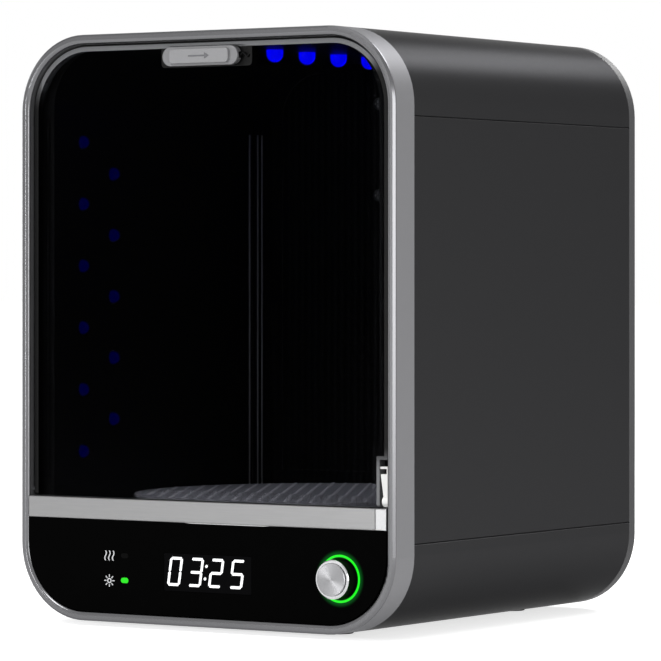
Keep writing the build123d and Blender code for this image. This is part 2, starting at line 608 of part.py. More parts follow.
with BuildPart() as knob_skirt:
    with BuildSketch(front_plane(KNOB_BACK_Y)):
        with Locations((KNOB_X, KNOB_Z)):
            Circle(KNOB_RADIUS - 0.3)
    extrude(amount=KNOB_BACK_Y - KNOB_FRONT_Y - KNOB_RIM_DEPTH)
    add(knob_shaft.part, mode=Mode.SUBTRACT)

with BuildPart() as knob_rim:
    with BuildSketch(front_plane(KNOB_FRONT_Y + KNOB_RIM_DEPTH)):
        with Locations((KNOB_X, KNOB_Z)):
            Circle(KNOB_RADIUS)
            Circle(KNOB_RADIUS - KNOB_RIM, mode=Mode.SUBTRACT)
    extrude(amount=KNOB_RIM_DEPTH - KNOB_CAP_PROUD)
    rim_front = knob_rim.faces().sort_by(Axis.Y)[0]
    chamfer(rim_front.outer_wire().edges(), 0.4)

with BuildPart() as knob_cap:
    with BuildSketch(front_plane(KNOB_FRONT_Y + KNOB_RIM_DEPTH)):
        with Locations((KNOB_X, KNOB_Z)):
            Circle(KNOB_RADIUS - KNOB_RIM - KNOB_GROOVE)
    extrude(amount=KNOB_RIM_DEPTH)
    chamfer(knob_cap.faces().sort_by(Axis.Y)[0].edges(), 0.3)

# ---------------------------------------------------------------- curing chamber
LED_SITES_SIDE = [
    (y, LED_LOWEST_Z + LED_PITCH * (row + 0.5 * column))
    for column, y in enumerate(LED_COLUMNS)
    for row in range(LED_ROWS - column)
]
CEILING_LED_REACH = CEILING_LED_PITCH * (CEILING_LED_COUNT - 1) / 2
LED_SITES_CEILING = [
    (0.0, CHAMBER_MID_Y - CEILING_LED_REACH + i * CEILING_LED_PITCH)
    for i in range(CEILING_LED_COUNT)
]
LED_BOARD_THICKNESS = 1.6
LED_BOARD_EDGE = 6.0
WALL_OUTER_X = CHAMBER_HALF + LINER
WALL_BOTTOM_Z = FLOOR_Z - LINER
CHAMBER_LENGTH = CHAMBER_REAR_Y - FASCIA_BACK_Y
DAMPER_NOTCH_Y = FRONT_Y + 24.0
DAMPER_NOTCH_Z = PINION_Z + 12.5

with BuildPart() as right_light_wall:
    with BuildSketch(side_plane(WALL_OUTER_X)):
        span(FASCIA_BACK_Y, CHAMBER_REAR_Y, WALL_BOTTOM_Z, SPRING_LINE_Z)
        with Locations(*LED_SITES_SIDE):
            RegularPolygon(SIDE_LED_RADIUS + LED_HOLE_GAP, LED_SIDES, major_radius=False, mode=Mode.SUBTRACT)
    extrude(amount=-LINER)

with BuildPart() as left_light_wall:
    mirror(right_light_wall.part, about=Plane.YZ, mode=Mode.ADD)

with BuildPart() as ceiling_liner:
    with BuildSketch(front_plane(CHAMBER_REAR_Y)):
        arch(WALL_OUTER_X, FLOOR_Z, CHAMBER_TOP_Z + LINER, CHAMBER_RADIUS + LINER)
        arch(CHAMBER_HALF, FLOOR_Z, CHAMBER_TOP_Z, CHAMBER_RADIUS, mode=Mode.SUBTRACT)
        span(-WALL_OUTER_X, WALL_OUTER_X, BASE_Z, SPRING_LINE_Z, mode=Mode.SUBTRACT)
    extrude(amount=CHAMBER_LENGTH)
    with BuildSketch(level_plane(CHAMBER_TOP_Z)):
        with Locations(*LED_SITES_CEILING):
            Circle(CEILING_LED_RADIUS + LED_HOLE_GAP)
    extrude(amount=LINER, mode=Mode.SUBTRACT)

with BuildPart() as chamber_floor:
    with BuildSketch(level_plane(FLOOR_Z - LINER)):
        span(-CHAMBER_HALF, CHAMBER_HALF, FASCIA_BACK_Y, CHAMBER_REAR_Y)
        with Locations((0, DISC_Y)):
            Circle(HUB_FLANGE + 1.5, mode=Mode.SUBTRACT)
    extrude(amount=LINER)

OUTLET_SLOTS = 7
OUTLET_PITCH = 6.0
OUTLET_WIDTH = 3.0
OUTLET_RADIUS = 22.0
PRESS_PANEL_SIDE = 6.3
PRESS_PANEL_TOP = 4.2
PRESS_PANEL_BOTTOM = 9.0
PRESS_PANEL_DEPTH = 0.8
DRYER_SCREWS = [
    (x, DRYER_Z + z)
    for x in (-DRYER_SCREW_X, DRYER_SCREW_X)
    for z in (-DRYER_SCREW_Z, DRYER_SCREW_Z)
]

with BuildPart() as back_reflector:
    with BuildSketch(front_plane(CHAMBER_REAR_Y + LINER)):
        arch(WALL_OUTER_X, WALL_BOTTOM_Z, CHAMBER_TOP_Z + LINER, CHAMBER_RADIUS + LINER)
        with Locations(*DRYER_SCREWS):
            Circle(SCREW_RADIUS + FIT_GAP, mode=Mode.SUBTRACT)
        # warm-air outlet: upright slots cut to a round outline
        for slot in range(OUTLET_SLOTS):
            slot_x = (slot - (OUTLET_SLOTS - 1) / 2) * OUTLET_PITCH
            with Locations((slot_x, DRYER_Z)):
                slot_length = 2 * sqrt(OUTLET_RADIUS**2 - slot_x**2)
                Rectangle(OUTLET_WIDTH, slot_length, mode=Mode.SUBTRACT)
    extrude(amount=LINER)
    # pressed recess with rounded corners that stiffens the sheet
    with BuildSketch(front_plane(CHAMBER_REAR_Y + PRESS_PANEL_DEPTH)):
        panel_half = CHAMBER_HALF - PRESS_PANEL_SIDE
        panel_top_z = CHAMBER_TOP_Z - PRESS_PANEL_TOP
        arch(panel_half, FLOOR_Z + PRESS_PANEL_BOTTOM, panel_top_z, CHAMBER_RADIUS - PRESS_PANEL_TOP)
        span(-DRYER_SCREW_X - 6, DRYER_SCREW_X + 6, DRYER_Z - 30, DRYER_Z + 30, mode=Mode.SUBTRACT)
    extrude(amount=PRESS_PANEL_DEPTH, mode=Mode.SUBTRACT)

TRIM_WIDTH = 11.0
TRIM_THICKNESS = 1.2
TRIM_Y = FRONT_Y + 179.5

with BuildPart() as corner_trims:
    with BuildSketch(level_plane(FLOOR_Z)):
        for side in (-1, 1):
            with Locations((side * (CHAMBER_HALF - TRIM_THICKNESS / 2), TRIM_Y)):
                Rectangle(TRIM_THICKNESS, TRIM_WIDTH)
            with Locations((side * (CHAMBER_HALF - TRIM_THICKNESS), TRIM_Y + 1.5)):
                Circle(0.7, mode=Mode.SUBTRACT)
    extrude(amount=SPRING_LINE_Z - FLOOR_Z)

with BuildPart() as right_led_board:
    with BuildSketch(side_plane(WALL_OUTER_X + LED_BOARD_THICKNESS)):
        span(FASCIA_BACK_Y + 0.3, LED_COLUMNS[-1] + LED_BOARD_EDGE + 2, LED_LOWEST_Z - LED_BOARD_EDGE,
             LED_LOWEST_Z + (LED_ROWS - 1) * LED_PITCH + LED_BOARD_EDGE)
        span(FRONT_Y, DAMPER_NOTCH_Y, WALL_BOTTOM_Z, DAMPER_NOTCH_Z, mode=Mode.SUBTRACT)
    extrude(amount=-LED_BOARD_THICKNESS)

with BuildPart() as left_led_board:
    mirror(right_led_board.part, about=Plane.YZ, mode=Mode.ADD)

with BuildPart() as ceiling_led_board:
    with BuildSketch(level_plane(CHAMBER_TOP_Z + LINER)):
        with Locations((0, CHAMBER_MID_Y)):
            Rectangle(30.0, 2 * CEILING_LED_REACH + 10.0)
    extrude(amount=LED_BOARD_THICKNESS)

with BuildPart() as right_leds:
    with BuildSketch(side_plane(WALL_OUTER_X)):
        with Locations(*LED_SITES_SIDE):
            RegularPolygon(SIDE_LED_RADIUS, LED_SIDES, major_radius=False)
    extrude(amount=-(LINER + LED_PROUD))

with BuildPart() as left_leds:
    mirror(right_leds.part, about=Plane.YZ, mode=Mode.ADD)

with BuildPart() as ceiling_leds:
    with BuildSketch(level_plane(CHAMBER_TOP_Z + LINER)):
        with Locations(*LED_SITES_CEILING):
            Circle(CEILING_LED_RADIUS)
    extrude(amount=-(LINER + CEILING_LED_PROUD))

# ---------------------------------------------------------------- dryer
DUCT_FRONT_Y = CHAMBER_REAR_Y + LINER
FAN_BACK_Y = REAR_PLATE_Y
FAN_FRONT_Y = FAN_BACK_Y - FAN_DEPTH
HEATER_DEPTH = 7.0
HEATER_FINS = 9
HEATER_WALL = 2.0
STRUT_DEPTH = 3.0
ROTOR_GAP = 1.0

with BuildPart() as dryer_duct:
    with BuildSketch(front_plane(FAN_FRONT_Y)):
        with Locations((0, DRYER_Z)):
            RectangleRounded(FAN_SIZE, FAN_SIZE, 3.0)
            Circle(DUCT_BORE, mode=Mode.SUBTRACT)
        with Locations(*DRYER_SCREWS):
            Circle(SCREW_RADIUS, mode=Mode.SUBTRACT)
    extrude(amount=FAN_FRONT_Y - DUCT_FRONT_Y)

with BuildPart() as heater_core:
    with BuildSketch(front_plane(DUCT_FRONT_Y + 1.5 + HEATER_DEPTH)):
        with Locations((0, DRYER_Z)):
            Circle(DUCT_BORE - RUN_GAP)
            Circle(DUCT_BORE - HEATER_WALL, mode=Mode.SUBTRACT)
            Rectangle(2 * DUCT_BORE - 2, 3.0)
        for fin in range(HEATER_FINS):
            fin_x = (fin - (HEATER_FINS - 1) / 2) * 5.0
            with Locations((fin_x, DRYER_Z)):
                Rectangle(1.0, 2 * sqrt((DUCT_BORE - 1) ** 2 - fin_x**2))
    extrude(amount=HEATER_DEPTH)

with BuildPart() as fan_frame:
    with BuildSketch(front_plane(FAN_BACK_Y)):
        with Locations((0, DRYER_Z)):
            RectangleRounded(FAN_SIZE, FAN_SIZE, 3.0)
            Circle(FAN_BORE, mode=Mode.SUBTRACT)
        with Locations((0, DRYER_Z)):
            with GridLocations(50.0, 50.0, 2, 2):
                Circle(2.0, mode=Mode.SUBTRACT)
    extrude(amount=FAN_DEPTH)
    # motor plate on four struts at the intake side
    with BuildSketch(front_plane(FAN_BACK_Y)):
        with Locations((0, DRYER_Z)):
            Rectangle(2 * FAN_BORE + 2, 3.0, rotation=45)
            Rectangle(2 * FAN_BORE + 2, 3.0, rotation=-45)
            Circle(FAN_HUB)
    extrude(amount=STRUT_DEPTH)
    with BuildSketch(front_plane(FAN_BACK_Y - 1.0)):
        with Locations((0, DRYER_Z)):
            Circle(SCREW_RADIUS + RUN_GAP)
    extrude(amount=STRUT_DEPTH, mode=Mode.SUBTRACT)

BLADE_TIP = FAN_BORE - 1.0
BLADE_CHORD = 12.0
BLADE_THICKNESS = 1.2
BLADE_ANGLES = (38, 24)  # at the hub and at the tip
ROTOR_DEPTH = FAN_DEPTH - STRUT_DEPTH - 2 * ROTOR_GAP
ROTOR_MID_Y = FAN_FRONT_Y + ROTOR_GAP + ROTOR_DEPTH / 2

with BuildPart() as fan_rotor:
    with BuildSketch(front_plane(ROTOR_MID_Y + ROTOR_DEPTH / 2)):
        with Locations((0, DRYER_Z)):
            Circle(FAN_HUB)
    extrude(amount=ROTOR_DEPTH)
    with BuildSketch(front_plane(FAN_BACK_Y - 1.2)):
        with Locations((0, DRYER_Z)):
            Circle(SCREW_RADIUS)
    extrude(amount=STRUT_DEPTH + 1.0)
    for blade in range(FAN_BLADES):
        turn = 2 * pi * blade / FAN_BLADES
        outwards = Vector(cos(turn), 0, sin(turn))
        hub_centre = Vector(0, ROTOR_MID_Y, DRYER_Z) + outwards * (FAN_HUB - 1.0)
        tip_centre = Vector(0, ROTOR_MID_Y, DRYER_Z) + outwards * BLADE_TIP
        with BuildSketch(Plane(origin=hub_centre, x_dir=(0, 1, 0), z_dir=outwards)):
            Rectangle(BLADE_THICKNESS, BLADE_CHORD, rotation=90 - BLADE_ANGLES[0])
        with BuildSketch(Plane(origin=tip_centre, x_dir=(0, 1, 0), z_dir=outwards)):
            Rectangle(BLADE_THICKNESS, BLADE_CHORD, rotation=90 - BLADE_ANGLES[1])
        loft()

with BuildPart() as dryer_screws:
    with BuildSketch(front_plane(CHAMBER_REAR_Y)):
        with Locations(*DRYER_SCREWS):
            Circle(SCREW_HEAD)
    extrude(amount=SCREW_HEAD_DEPTH)
    with BuildSketch(front_plane(CHAMBER_REAR_Y + 9.0)):
        with Locations(*DRYER_SCREWS):
            Circle(SCREW_RADIUS)
    extrude(amount=9.0)

# ---------------------------------------------------------------- power
with BuildPart() as power_board:
    with BuildSketch(level_plane(POWER_BOARD_Z)):
        with Locations((0, POWER_BOARD_Y)):
            Rectangle(*POWER_BOARD_SIZE)
    extrude(amount=BOARD_THICKNESS)
    with BuildSketch(level_plane(POWER_BOARD_Z + BOARD_THICKNESS)):
        with Locations((-28, POWER_BOARD_Y + 6), (-12, POWER_BOARD_Y + 6)):
            Circle(6.3)
    extrude(amount=14.0)
    with BuildSketch(level_plane(POWER_BOARD_Z + BOARD_THICKNESS)):
        with Locations((14, POWER_BOARD_Y)):
            Rectangle(22, 20)
    extrude(amount=9.0)

INLET_DEPTH = 14.0

with BuildPart() as dc_inlet:
    with BuildSketch(front_plane(REAR_PLATE_Y)):
        with Locations((INLET_X, INLET_Z)):
            Rectangle(14, 14)
    extrude(amount=INLET_DEPTH)
    with BuildSketch(front_plane(REAR_Y - 0.4)):
        with Locations((INLET_X, INLET_Z)):
            Circle(INLET_RADIUS)
    extrude(amount=SHELL_WALL)
    with BuildSketch(front_plane(REAR_Y)):
        with Locations((INLET_X, INLET_Z)):
            Circle(3.2)
            Circle(1.0, mode=Mode.SUBTRACT)
    extrude(amount=10.0, mode=Mode.SUBTRACT)

# ---------------------------------------------------------------- turntable and its motor
SHAFT_LOW_Z = MOTOR_TOP_Z - 11.0
PLATE_LOW_Z = DISC_TOP_Z - DISC_THICKNESS - DISC_RIM

with BuildPart() as turntable_disc:
    with BuildSketch(level_plane(DISC_TOP_Z - DISC_THICKNESS)):
        with Locations((0, DISC_Y)):
            Circle(DISC_RADIUS)
    extrude(amount=DISC_THICKNESS)
    with BuildSketch(level_plane(PLATE_LOW_Z)):
        with Locations((0, DISC_Y)):
            Circle(DISC_RADIUS)
            Circle(DISC_RADIUS - 1.2, mode=Mode.SUBTRACT)
    extrude(amount=DISC_RIM)

with BuildPart() as turntable_hub:
    with BuildSketch(level_plane(MOTOR_TOP_Z + 0.4)):
        with Locations((0, DISC_Y)):
            Circle(HUB_FLANGE)
    extrude(amount=DISC_TOP_Z - DISC_THICKNESS - MOTOR_TOP_Z - 0.4)
    with BuildSketch(level_plane(SHAFT_LOW_Z)):
        with Locations((0, DISC_Y)):
            Circle(DRIVE_RADIUS)
    extrude(amount=MOTOR_TOP_Z + 0.4 - SHAFT_LOW_Z)

MOTOR_EAR_X = 29.0

with BuildPart() as turntable_motor:
    with BuildSketch(level_plane(MOTOR_TOP_Z - MOTOR_HEIGHT)):
        with Locations((0, DISC_Y)):
            Circle(MOTOR_RADIUS)
    extrude(amount=MOTOR_HEIGHT)
    with BuildSketch(level_plane(MOTOR_TOP_Z - 1.5)):
        with Locations((0, DISC_Y)):
            SlotCenterToCenter(2 * MOTOR_EAR_X, 10.0)
        with Locations((-MOTOR_EAR_X, DISC_Y), (MOTOR_EAR_X, DISC_Y)):
            Circle(SCREW_RADIUS, mode=Mode.SUBTRACT)
    extrude(amount=1.5)
    with BuildSketch(level_plane(MOTOR_TOP_Z)):
        with Locations((0, DISC_Y)):
            Circle(DRIVE_RADIUS + RUN_GAP)
    extrude(amount=-(MOTOR_TOP_Z - SHAFT_LOW_Z + 0.5), mode=Mode.SUBTRACT)

with BuildPart() as motor_screws:
    with BuildSketch(level_plane(MOTOR_TOP_Z)):
        with Locations((-MOTOR_EAR_X, DISC_Y), (MOTOR_EAR_X, DISC_Y)):
            Circle(SCREW_RADIUS)
    extrude(amount=-1.5)
    with BuildSketch(level_plane(MOTOR_TOP_Z - 1.5)):
        with Locations((-MOTOR_EAR_X, DISC_Y), (MOTOR_EAR_X, DISC_Y)):
            Circle(SCREW_HEAD)
    extrude(amount=-SCREW_HEAD_DEPTH)

# ---------------------------------------------------------------- door
EASE_FRONT = 1.0
EASE_BACK = 1.6
CHEEK_X = DOOR_HALF - CUTOUT_WIDTH - CUTOUT_BORDER
CHEEK_TOP_Z = DOOR_BOTTOM_Z + CUTOUT_HEIGHT + CUTOUT_BORDER
RAIL_TOP_Z = DOOR_TOP_Z - DOOR_RADIUS
RAIL_X = DOOR_HALF - DOOR_BORDER - DOOR_FLANGE
SEAL_INNER_X = RAIL_X + SEAL_EDGE
SEAL_OUTER_X = SEAL_INNER_X + SEAL_WIDTH
SEAL_TOP_Z = RAIL_TOP_Z - 3.0


def glass_outline(mode=Mode.ADD):
    """The door pane's outline before its cut-outs; it runs past the door's bottom edge."""
    arch(DOOR_HALF - DOOR_BORDER, DOOR_BOTTOM_Z - DOOR_DEPTH, DOOR_TOP_Z - DOOR_BORDER,
         DOOR_RADIUS - DOOR_BORDER, mode=mode)


# side view of the closed door: its bottom edges are eased so that it clears the bar as it swings
with BuildPart() as door_envelope:
    with BuildSketch(side_plane(HALF_WIDTH)):
        span(DOOR_FRONT_Y, DOOR_BACK_Y, DOOR_BOTTOM_Z, DOOR_TOP_Z)
    extrude(amount=-BODY_WIDTH)
    bottom_edges = door_envelope.faces().sort_by(Axis.Z)[0].edges().filter_by(Axis.X).sort_by(Axis.Y)
    fillet(bottom_edges[0], EASE_FRONT)
    bottom_edges = door_envelope.faces().sort_by(Axis.Z)[0].edges().filter_by(Axis.X).sort_by(Axis.Y)
    chamfer(bottom_edges[-1], EASE_BACK)

SHANK_WIDTH = 3.0
SHANK_X = 0.0
NOSE_REACH = 4.6
NOSE_Y = DOOR_BACK_Y + 2.1
HOOK_BACK_Y = NOSE_Y + HOOK_THICKNESS
SPRING_GROOVE_X = 6.0
POCKET_FLOOR_Y = DOOR_FRONT_Y + POCKET_DEPTH
SLIDER_BACK_Y = POCKET_FLOOR_Y - PRESS_CLEAR
SLIDER_END_X = SLIDER_X + SLIDER_LENGTH / 2
POCKET_END_X = SLIDER_END_X + SLIDER_TRAVEL + PRESS_CLEAR

with BuildPart() as door_frame:
    with BuildSketch(front_plane(DOOR_BACK_Y)):
        arch(DOOR_HALF, DOOR_BOTTOM_Z, DOOR_TOP_Z, DOOR_RADIUS)
        glass_outline(mode=Mode.SUBTRACT)
        # border round the hinge cut-out
        span(CHEEK_X, DOOR_HALF, DOOR_BOTTOM_Z, CHEEK_TOP_Z)
        span(CHEEK_X + CUTOUT_BORDER, HALF_WIDTH, BASE_Z, CHEEK_TOP_Z - CUTOUT_BORDER, mode=Mode.SUBTRACT)
        # tab that holds the latch slider
        with Locations((0, DOOR_TOP_Z - TAB_DROP / 2)):
            Rectangle(2 * TAB_HALF, TAB_DROP)
    extrude(amount=DOOR_DEPTH)
    tab_corners = door_frame.edges().filter_by(Axis.Y).filter_by_position(Axis.X, -TAB_HALF, TAB_HALF)
    fillet(tab_corners.group_by(Axis.Z)[0], TAB_FILLET)
    # pocket of the slider, and the slot for its hook
    with BuildSketch(front_plane(POCKET_FLOOR_Y)):
        slider_outline(grow=PRESS_CLEAR, stretch=SLIDER_TRAVEL)
    extrude(amount=POCKET_DEPTH, mode=Mode.SUBTRACT)
    with BuildSketch(front_plane(DOOR_BACK_Y)):
        span(SHANK_X - 0.5, SHANK_X + SHANK_WIDTH + SLIDER_TRAVEL + 0.5, LATCH_Z - 1.9, LATCH_Z + 1.9)
    extrude(amount=DOOR_DEPTH, mode=Mode.SUBTRACT)
    # blind bore of the left hinge pin
    with BuildSketch(side_plane(-DOOR_HALF, PIVOT_Y, PIVOT_Z)):
        Circle(PIN_RADIUS)
    extrude(amount=PIN_SEAT, mode=Mode.SUBTRACT)
    add(door_envelope.part, mode=Mode.INTERSECT)

with BuildPart() as door_glass:
    with BuildSketch(front_plane(GLASS_BACK_Y)):
        glass_outline()
        span(CHEEK_X, DOOR_HALF, BASE_Z, CHEEK_TOP_Z, mode=Mode.SUBTRACT)
        with Locations((0, DOOR_TOP_Z - TAB_DROP / 2)):
            Rectangle(2 * TAB_HALF, TAB_DROP, mode=Mode.SUBTRACT)
    extrude(amount=GLASS_THICKNESS)
    notch_corners = door_glass.edges().filter_by(Axis.Y).filter_by_position(Axis.X, -TAB_HALF, TAB_HALF)
    fillet(notch_corners.group_by(Axis.Z)[0], TAB_FILLET)
    add(door_envelope.part, mode=Mode.INTERSECT)

with BuildPart() as door_rails:
    with BuildSketch(front_plane(DOOR_BACK_Y)):
        span(DOOR_BORDER - DOOR_HALF, DOOR_HALF - DOOR_BORDER, DOOR_BOTTOM_Z, RAIL_TOP_Z)
        span(-RAIL_X, RAIL_X, DOOR_BOTTOM_Z + DOOR_FLANGE, TOP_Z, mode=Mode.SUBTRACT)
        span(CHEEK_X - DOOR_FLANGE, RAIL_X, DOOR_BOTTOM_Z, CHEEK_TOP_Z + DOOR_FLANGE)
        span(CHEEK_X, HALF_WIDTH, BASE_Z, CHEEK_TOP_Z, mode=Mode.SUBTRACT)
    extrude(amount=DOOR_BACK_Y - GLASS_BACK_Y)
    with BuildSketch(front_plane(DOOR_BACK_Y)):
        span(-SEAL_OUTER_X, -SEAL_INNER_X, DOOR_BOTTOM_Z + 8.0, SEAL_TOP_Z)
        span(SEAL_INNER_X, SEAL_OUTER_X, CHEEK_TOP_Z + 4.0, SEAL_TOP_Z)
    extrude(amount=SEAL_DEPTH - SEAL_PROUD, mode=Mode.SUBTRACT)
    add(door_envelope.part, mode=Mode.INTERSECT)

with BuildPart() as door_seals:
    with BuildSketch(front_plane(DOOR_BACK_Y + SEAL_PROUD)):
        span(-SEAL_OUTER_X, -SEAL_INNER_X, DOOR_BOTTOM_Z + 8.0, SEAL_TOP_Z)
        span(SEAL_INNER_X, SEAL_OUTER_X, CHEEK_TOP_Z + 4.0, SEAL_TOP_Z)
    extrude(amount=SEAL_DEPTH)

# ---------------------------------------------------------------- latch
with BuildPart() as latch_slider:
    with BuildSketch(front_plane(SLIDER_BACK_Y)):
        slider_outline()
    extrude(amount=SLIDER_BACK_Y - DOOR_FRONT_Y + SLIDER_PROUD)
    fillet(latch_slider.faces().sort_by(Axis.Y)[0].edges(), 0.5)
    # hook that catches the strike behind the door
    with BuildSketch(level_plane(LATCH_Z - 1.5)):
        span(SHANK_X, SHANK_X + SHANK_WIDTH, SLIDER_BACK_Y - 1.0, HOOK_BACK_Y)
        span(SHANK_X - NOSE_REACH, SHANK_X + SHANK_WIDTH, NOSE_Y, HOOK_BACK_Y)
    extrude(amount=3.0)
    # groove for the return spring
    with BuildSketch(front_plane(SLIDER_BACK_Y)):
        span(SPRING_GROOVE_X, SLIDER_END_X, LATCH_Z - 1.5, LATCH_Z + 1.5)
    extrude(amount=2.0, mode=Mode.SUBTRACT)

with BuildPart() as latch_grip:
    with BuildSketch(front_plane(DOOR_FRONT_Y - SLIDER_PROUD)):
        with Locations((SLIDER_X, LATCH_Z)):
            RectangleRounded(GRIP_LENGTH, GRIP_HEIGHT, 1.8)
    extrude(amount=GRIP_PROUD)
    fillet(latch_grip.faces().sort_by(Axis.Y)[0].edges(), 0.6)

SPRING_FOLDS = 8
SPRING_STRIP = 0.35
SPRING_LENGTH = POCKET_END_X - SPRING_GROOVE_X - 0.4
SPRING_HALF = 1.0
spring_points = [
    (SPRING_GROOVE_X + 0.2 + SPRING_LENGTH * i / SPRING_FOLDS, LATCH_Z + SPRING_HALF * (-1) ** i)
    for i in range(SPRING_FOLDS + 1)
]

with BuildPart() as latch_spring:
    with BuildSketch(front_plane(SLIDER_BACK_Y - 0.2)):
        with BuildLine():
            Polyline(*spring_points)
        trace(line_width=SPRING_STRIP)
    extrude(amount=1.4)

with BuildPart() as latch_strike:
    with BuildSketch(side_plane(SHANK_X - 0.4)):
        span(DOOR_BACK_Y + 0.6, FASCIA_BACK_Y, LATCH_Z - 3.4, CHAMBER_TOP_Z)
        span(DOOR_BACK_Y + 0.6, FASCIA_BACK_Y + 9.0, CHAMBER_TOP_Z - STRIKE_THICKNESS, CHAMBER_TOP_Z)
    extrude(amount=-8.0)

with BuildPart() as door_switch:
    with BuildSketch(side_plane(SWITCH_X + 2.4)):
        span(FASCIA_BACK_Y, FASCIA_BACK_Y + 12.0, SWITCH_Z - 6.5, SWITCH_Z + 3.5)
    extrude(amount=-4.8)
    with BuildSketch(front_plane(FASCIA_BACK_Y)):
        with Locations((SWITCH_X, SWITCH_Z)):
            Circle(1.2)
    extrude(amount=FASCIA_BACK_Y - DOOR_BACK_Y - 0.6)

# ---------------------------------------------------------------- hinge and damper
PITCH_PER_TOOTH = 360.0 / SECTOR_TEETH
PINION_PITCH = 360.0 / PINION_TEETH
SECTOR_RADIUS = GEAR_MODULE * SECTOR_TEETH / 2
PINION_RADIUS = GEAR_MODULE * PINION_TEETH / 2
ADDENDUM = GEAR_MODULE
DEDENDUM = 1.25 * GEAR_MODULE
SECTOR_COUNT = round(DOOR_TRAVEL / PITCH_PER_TOOTH) + 2


def tooth_flank(pitch_radius, teeth):
    """Points (radius, half angle) of an involute flank at root, base, middle and tip."""
    base = pitch_radius * cos(PRESSURE_ANGLE)
    root = pitch_radius - DEDENDUM
    tip = pitch_radius + ADDENDUM
    at_pitch = pi / (2 * teeth) - BACKLASH / (4 * pitch_radius)
    low = max(base, root)
    points = []
    for radius in (low, (low + tip) / 2, tip):
        angle = acos(base / radius)
        points.append((radius, at_pitch + tan(PRESSURE_ANGLE) - PRESSURE_ANGLE - tan(angle) + angle))
    return root - 0.1, points


def polar(radius, angle):
    """Sketch point at a radius and an angle in radians."""
    return (radius * cos(angle), radius * sin(angle))


def tooth_corners(pitch_radius, teeth):
    """One tooth's outline along the sketch's x axis: root, upper flank, lower flank, root."""
    root, flank = tooth_flank(pitch_radius, teeth)
    upper = [polar(radius, half) for radius, half in flank]
    lower = [polar(radius, -half) for radius, half in reversed(flank)]
    return polar(root, flank[0][1]), upper, lower, polar(root, -flank[0][1])


sector_start, sector_upper, sector_lower, sector_end = tooth_corners(SECTOR_RADIUS, SECTOR_TEETH)
with BuildSketch() as sector_tooth:
    with BuildLine():
        Line(sector_start, sector_upper[0])
        ThreePointArc(*sector_upper)
        Line(sector_upper[-1], sector_lower[0])
        ThreePointArc(*sector_lower)
        Line(sector_lower[-1], sector_end)
        Line(sector_end, sector_start)
    make_face()

pinion_start, pinion_upper, pinion_lower, pinion_end = tooth_corners(PINION_RADIUS, PINION_TEETH)
with BuildSketch() as pinion_tooth:
    with BuildLine():
        Line(pinion_start, pinion_upper[0])
        ThreePointArc(*pinion_upper)
        Line(pinion_upper[-1], pinion_lower[0])
        ThreePointArc(*pinion_lower)
        Line(pinion_lower[-1], pinion_end)
        Line(pinion_end, pinion_start)
    make_face()

SECTOR_HIGH = MESH_ANGLE + PITCH_PER_TOOTH
SECTOR_LOW = SECTOR_HIGH - (SECTOR_COUNT - 1) * PITCH_PER_TOOTH
WEDGE_EASE = 0.4 * PITCH_PER_TOOTH
BLADE_FRONT_Y = PIVOT_Y - 1.0
BLADE_BACK_Y = PIVOT_Y + HUB_RADIUS
BLADE_TOP_Z = DOOR_BOTTOM_Z + 14.7
CLIP_THICKNESS = 1.0

with BuildPart() as hinge_sector_arm:
    with BuildSketch(side_plane(GEAR_X, PIVOT_Y, PIVOT_Z)):
        Circle(SECTOR_RADIUS - DEDENDUM)
        reach = 3 * SECTOR_RADIUS
        low_angle = radians(SECTOR_LOW - WEDGE_EASE)
        high_angle = radians(SECTOR_HIGH + WEDGE_EASE)
        middle_angle = (low_angle + high_angle) / 2
        Polygon((0, 0), polar(reach, low_angle), polar(reach, middle_angle), polar(reach, high_angle),
                align=None, mode=Mode.INTERSECT)
        with PolarLocations(0, SECTOR_COUNT, start_angle=SECTOR_LOW, angular_range=SECTOR_HIGH - SECTOR_LOW,
                            endpoint=True):
            add(sector_tooth.sketch)
        Circle(HUB_RADIUS)
    extrude(amount=GEAR_WIDTH)
    # tapered blade that fills the door's cut-out, with the clip that hooks on the frame's cheek
    with BuildSketch(front_plane(BLADE_BACK_Y)):
        right_x = GEAR_X + GEAR_WIDTH
        left_x = CHEEK_X + CUTOUT_BORDER
        Polygon((right_x, PIVOT_Z - HUB_RADIUS), (right_x, BLADE_TOP_Z), (left_x + 0.3, BLADE_TOP_Z),
                (GEAR_X + 0.1, DOOR_BOTTOM_Z + 3.0), (GEAR_X + 0.1, PIVOT_Z - HUB_RADIUS), align=None)
        span(left_x, right_x, BLADE_TOP_Z + 2.4, BLADE_TOP_Z + 2.4 + CLIP_THICKNESS)
        span(right_x - CLIP_THICKNESS, right_x, BLADE_TOP_Z - 1.0, BLADE_TOP_Z + 2.4 + CLIP_THICKNESS)
    extrude(amount=BLADE_BACK_Y - BLADE_FRONT_Y)
    # hub with the bore of the right hinge pin
    with BuildSketch(side_plane(GEAR_X, PIVOT_Y, PIVOT_Z)):
        Circle(HUB_RADIUS)
    extrude(amount=DOOR_HALF + 0.4 - GEAR_X)
    with BuildSketch(side_plane(HALF_WIDTH, PIVOT_Y, PIVOT_Z)):
        Circle(PIN_RADIUS)
    extrude(amount=-(HALF_WIDTH - GEAR_X), mode=Mode.SUBTRACT)

PIN_END_X = HALF_WIDTH - RING_FACE + PIN_REACH - FIT_GAP

with BuildPart() as hinge_pins:
    with BuildSketch(side_plane(PIN_END_X, PIVOT_Y, PIVOT_Z)):
        Circle(PIN_RADIUS)
    extrude(amount=-(PIN_END_X - GEAR_X))
    with BuildSketch(side_plane(-PIN_END_X, PIVOT_Y, PIVOT_Z)):
        Circle(PIN_RADIUS)
    extrude(amount=PIN_END_X - DOOR_HALF + PIN_SEAT)

DAMPER_AXLE = 1.5

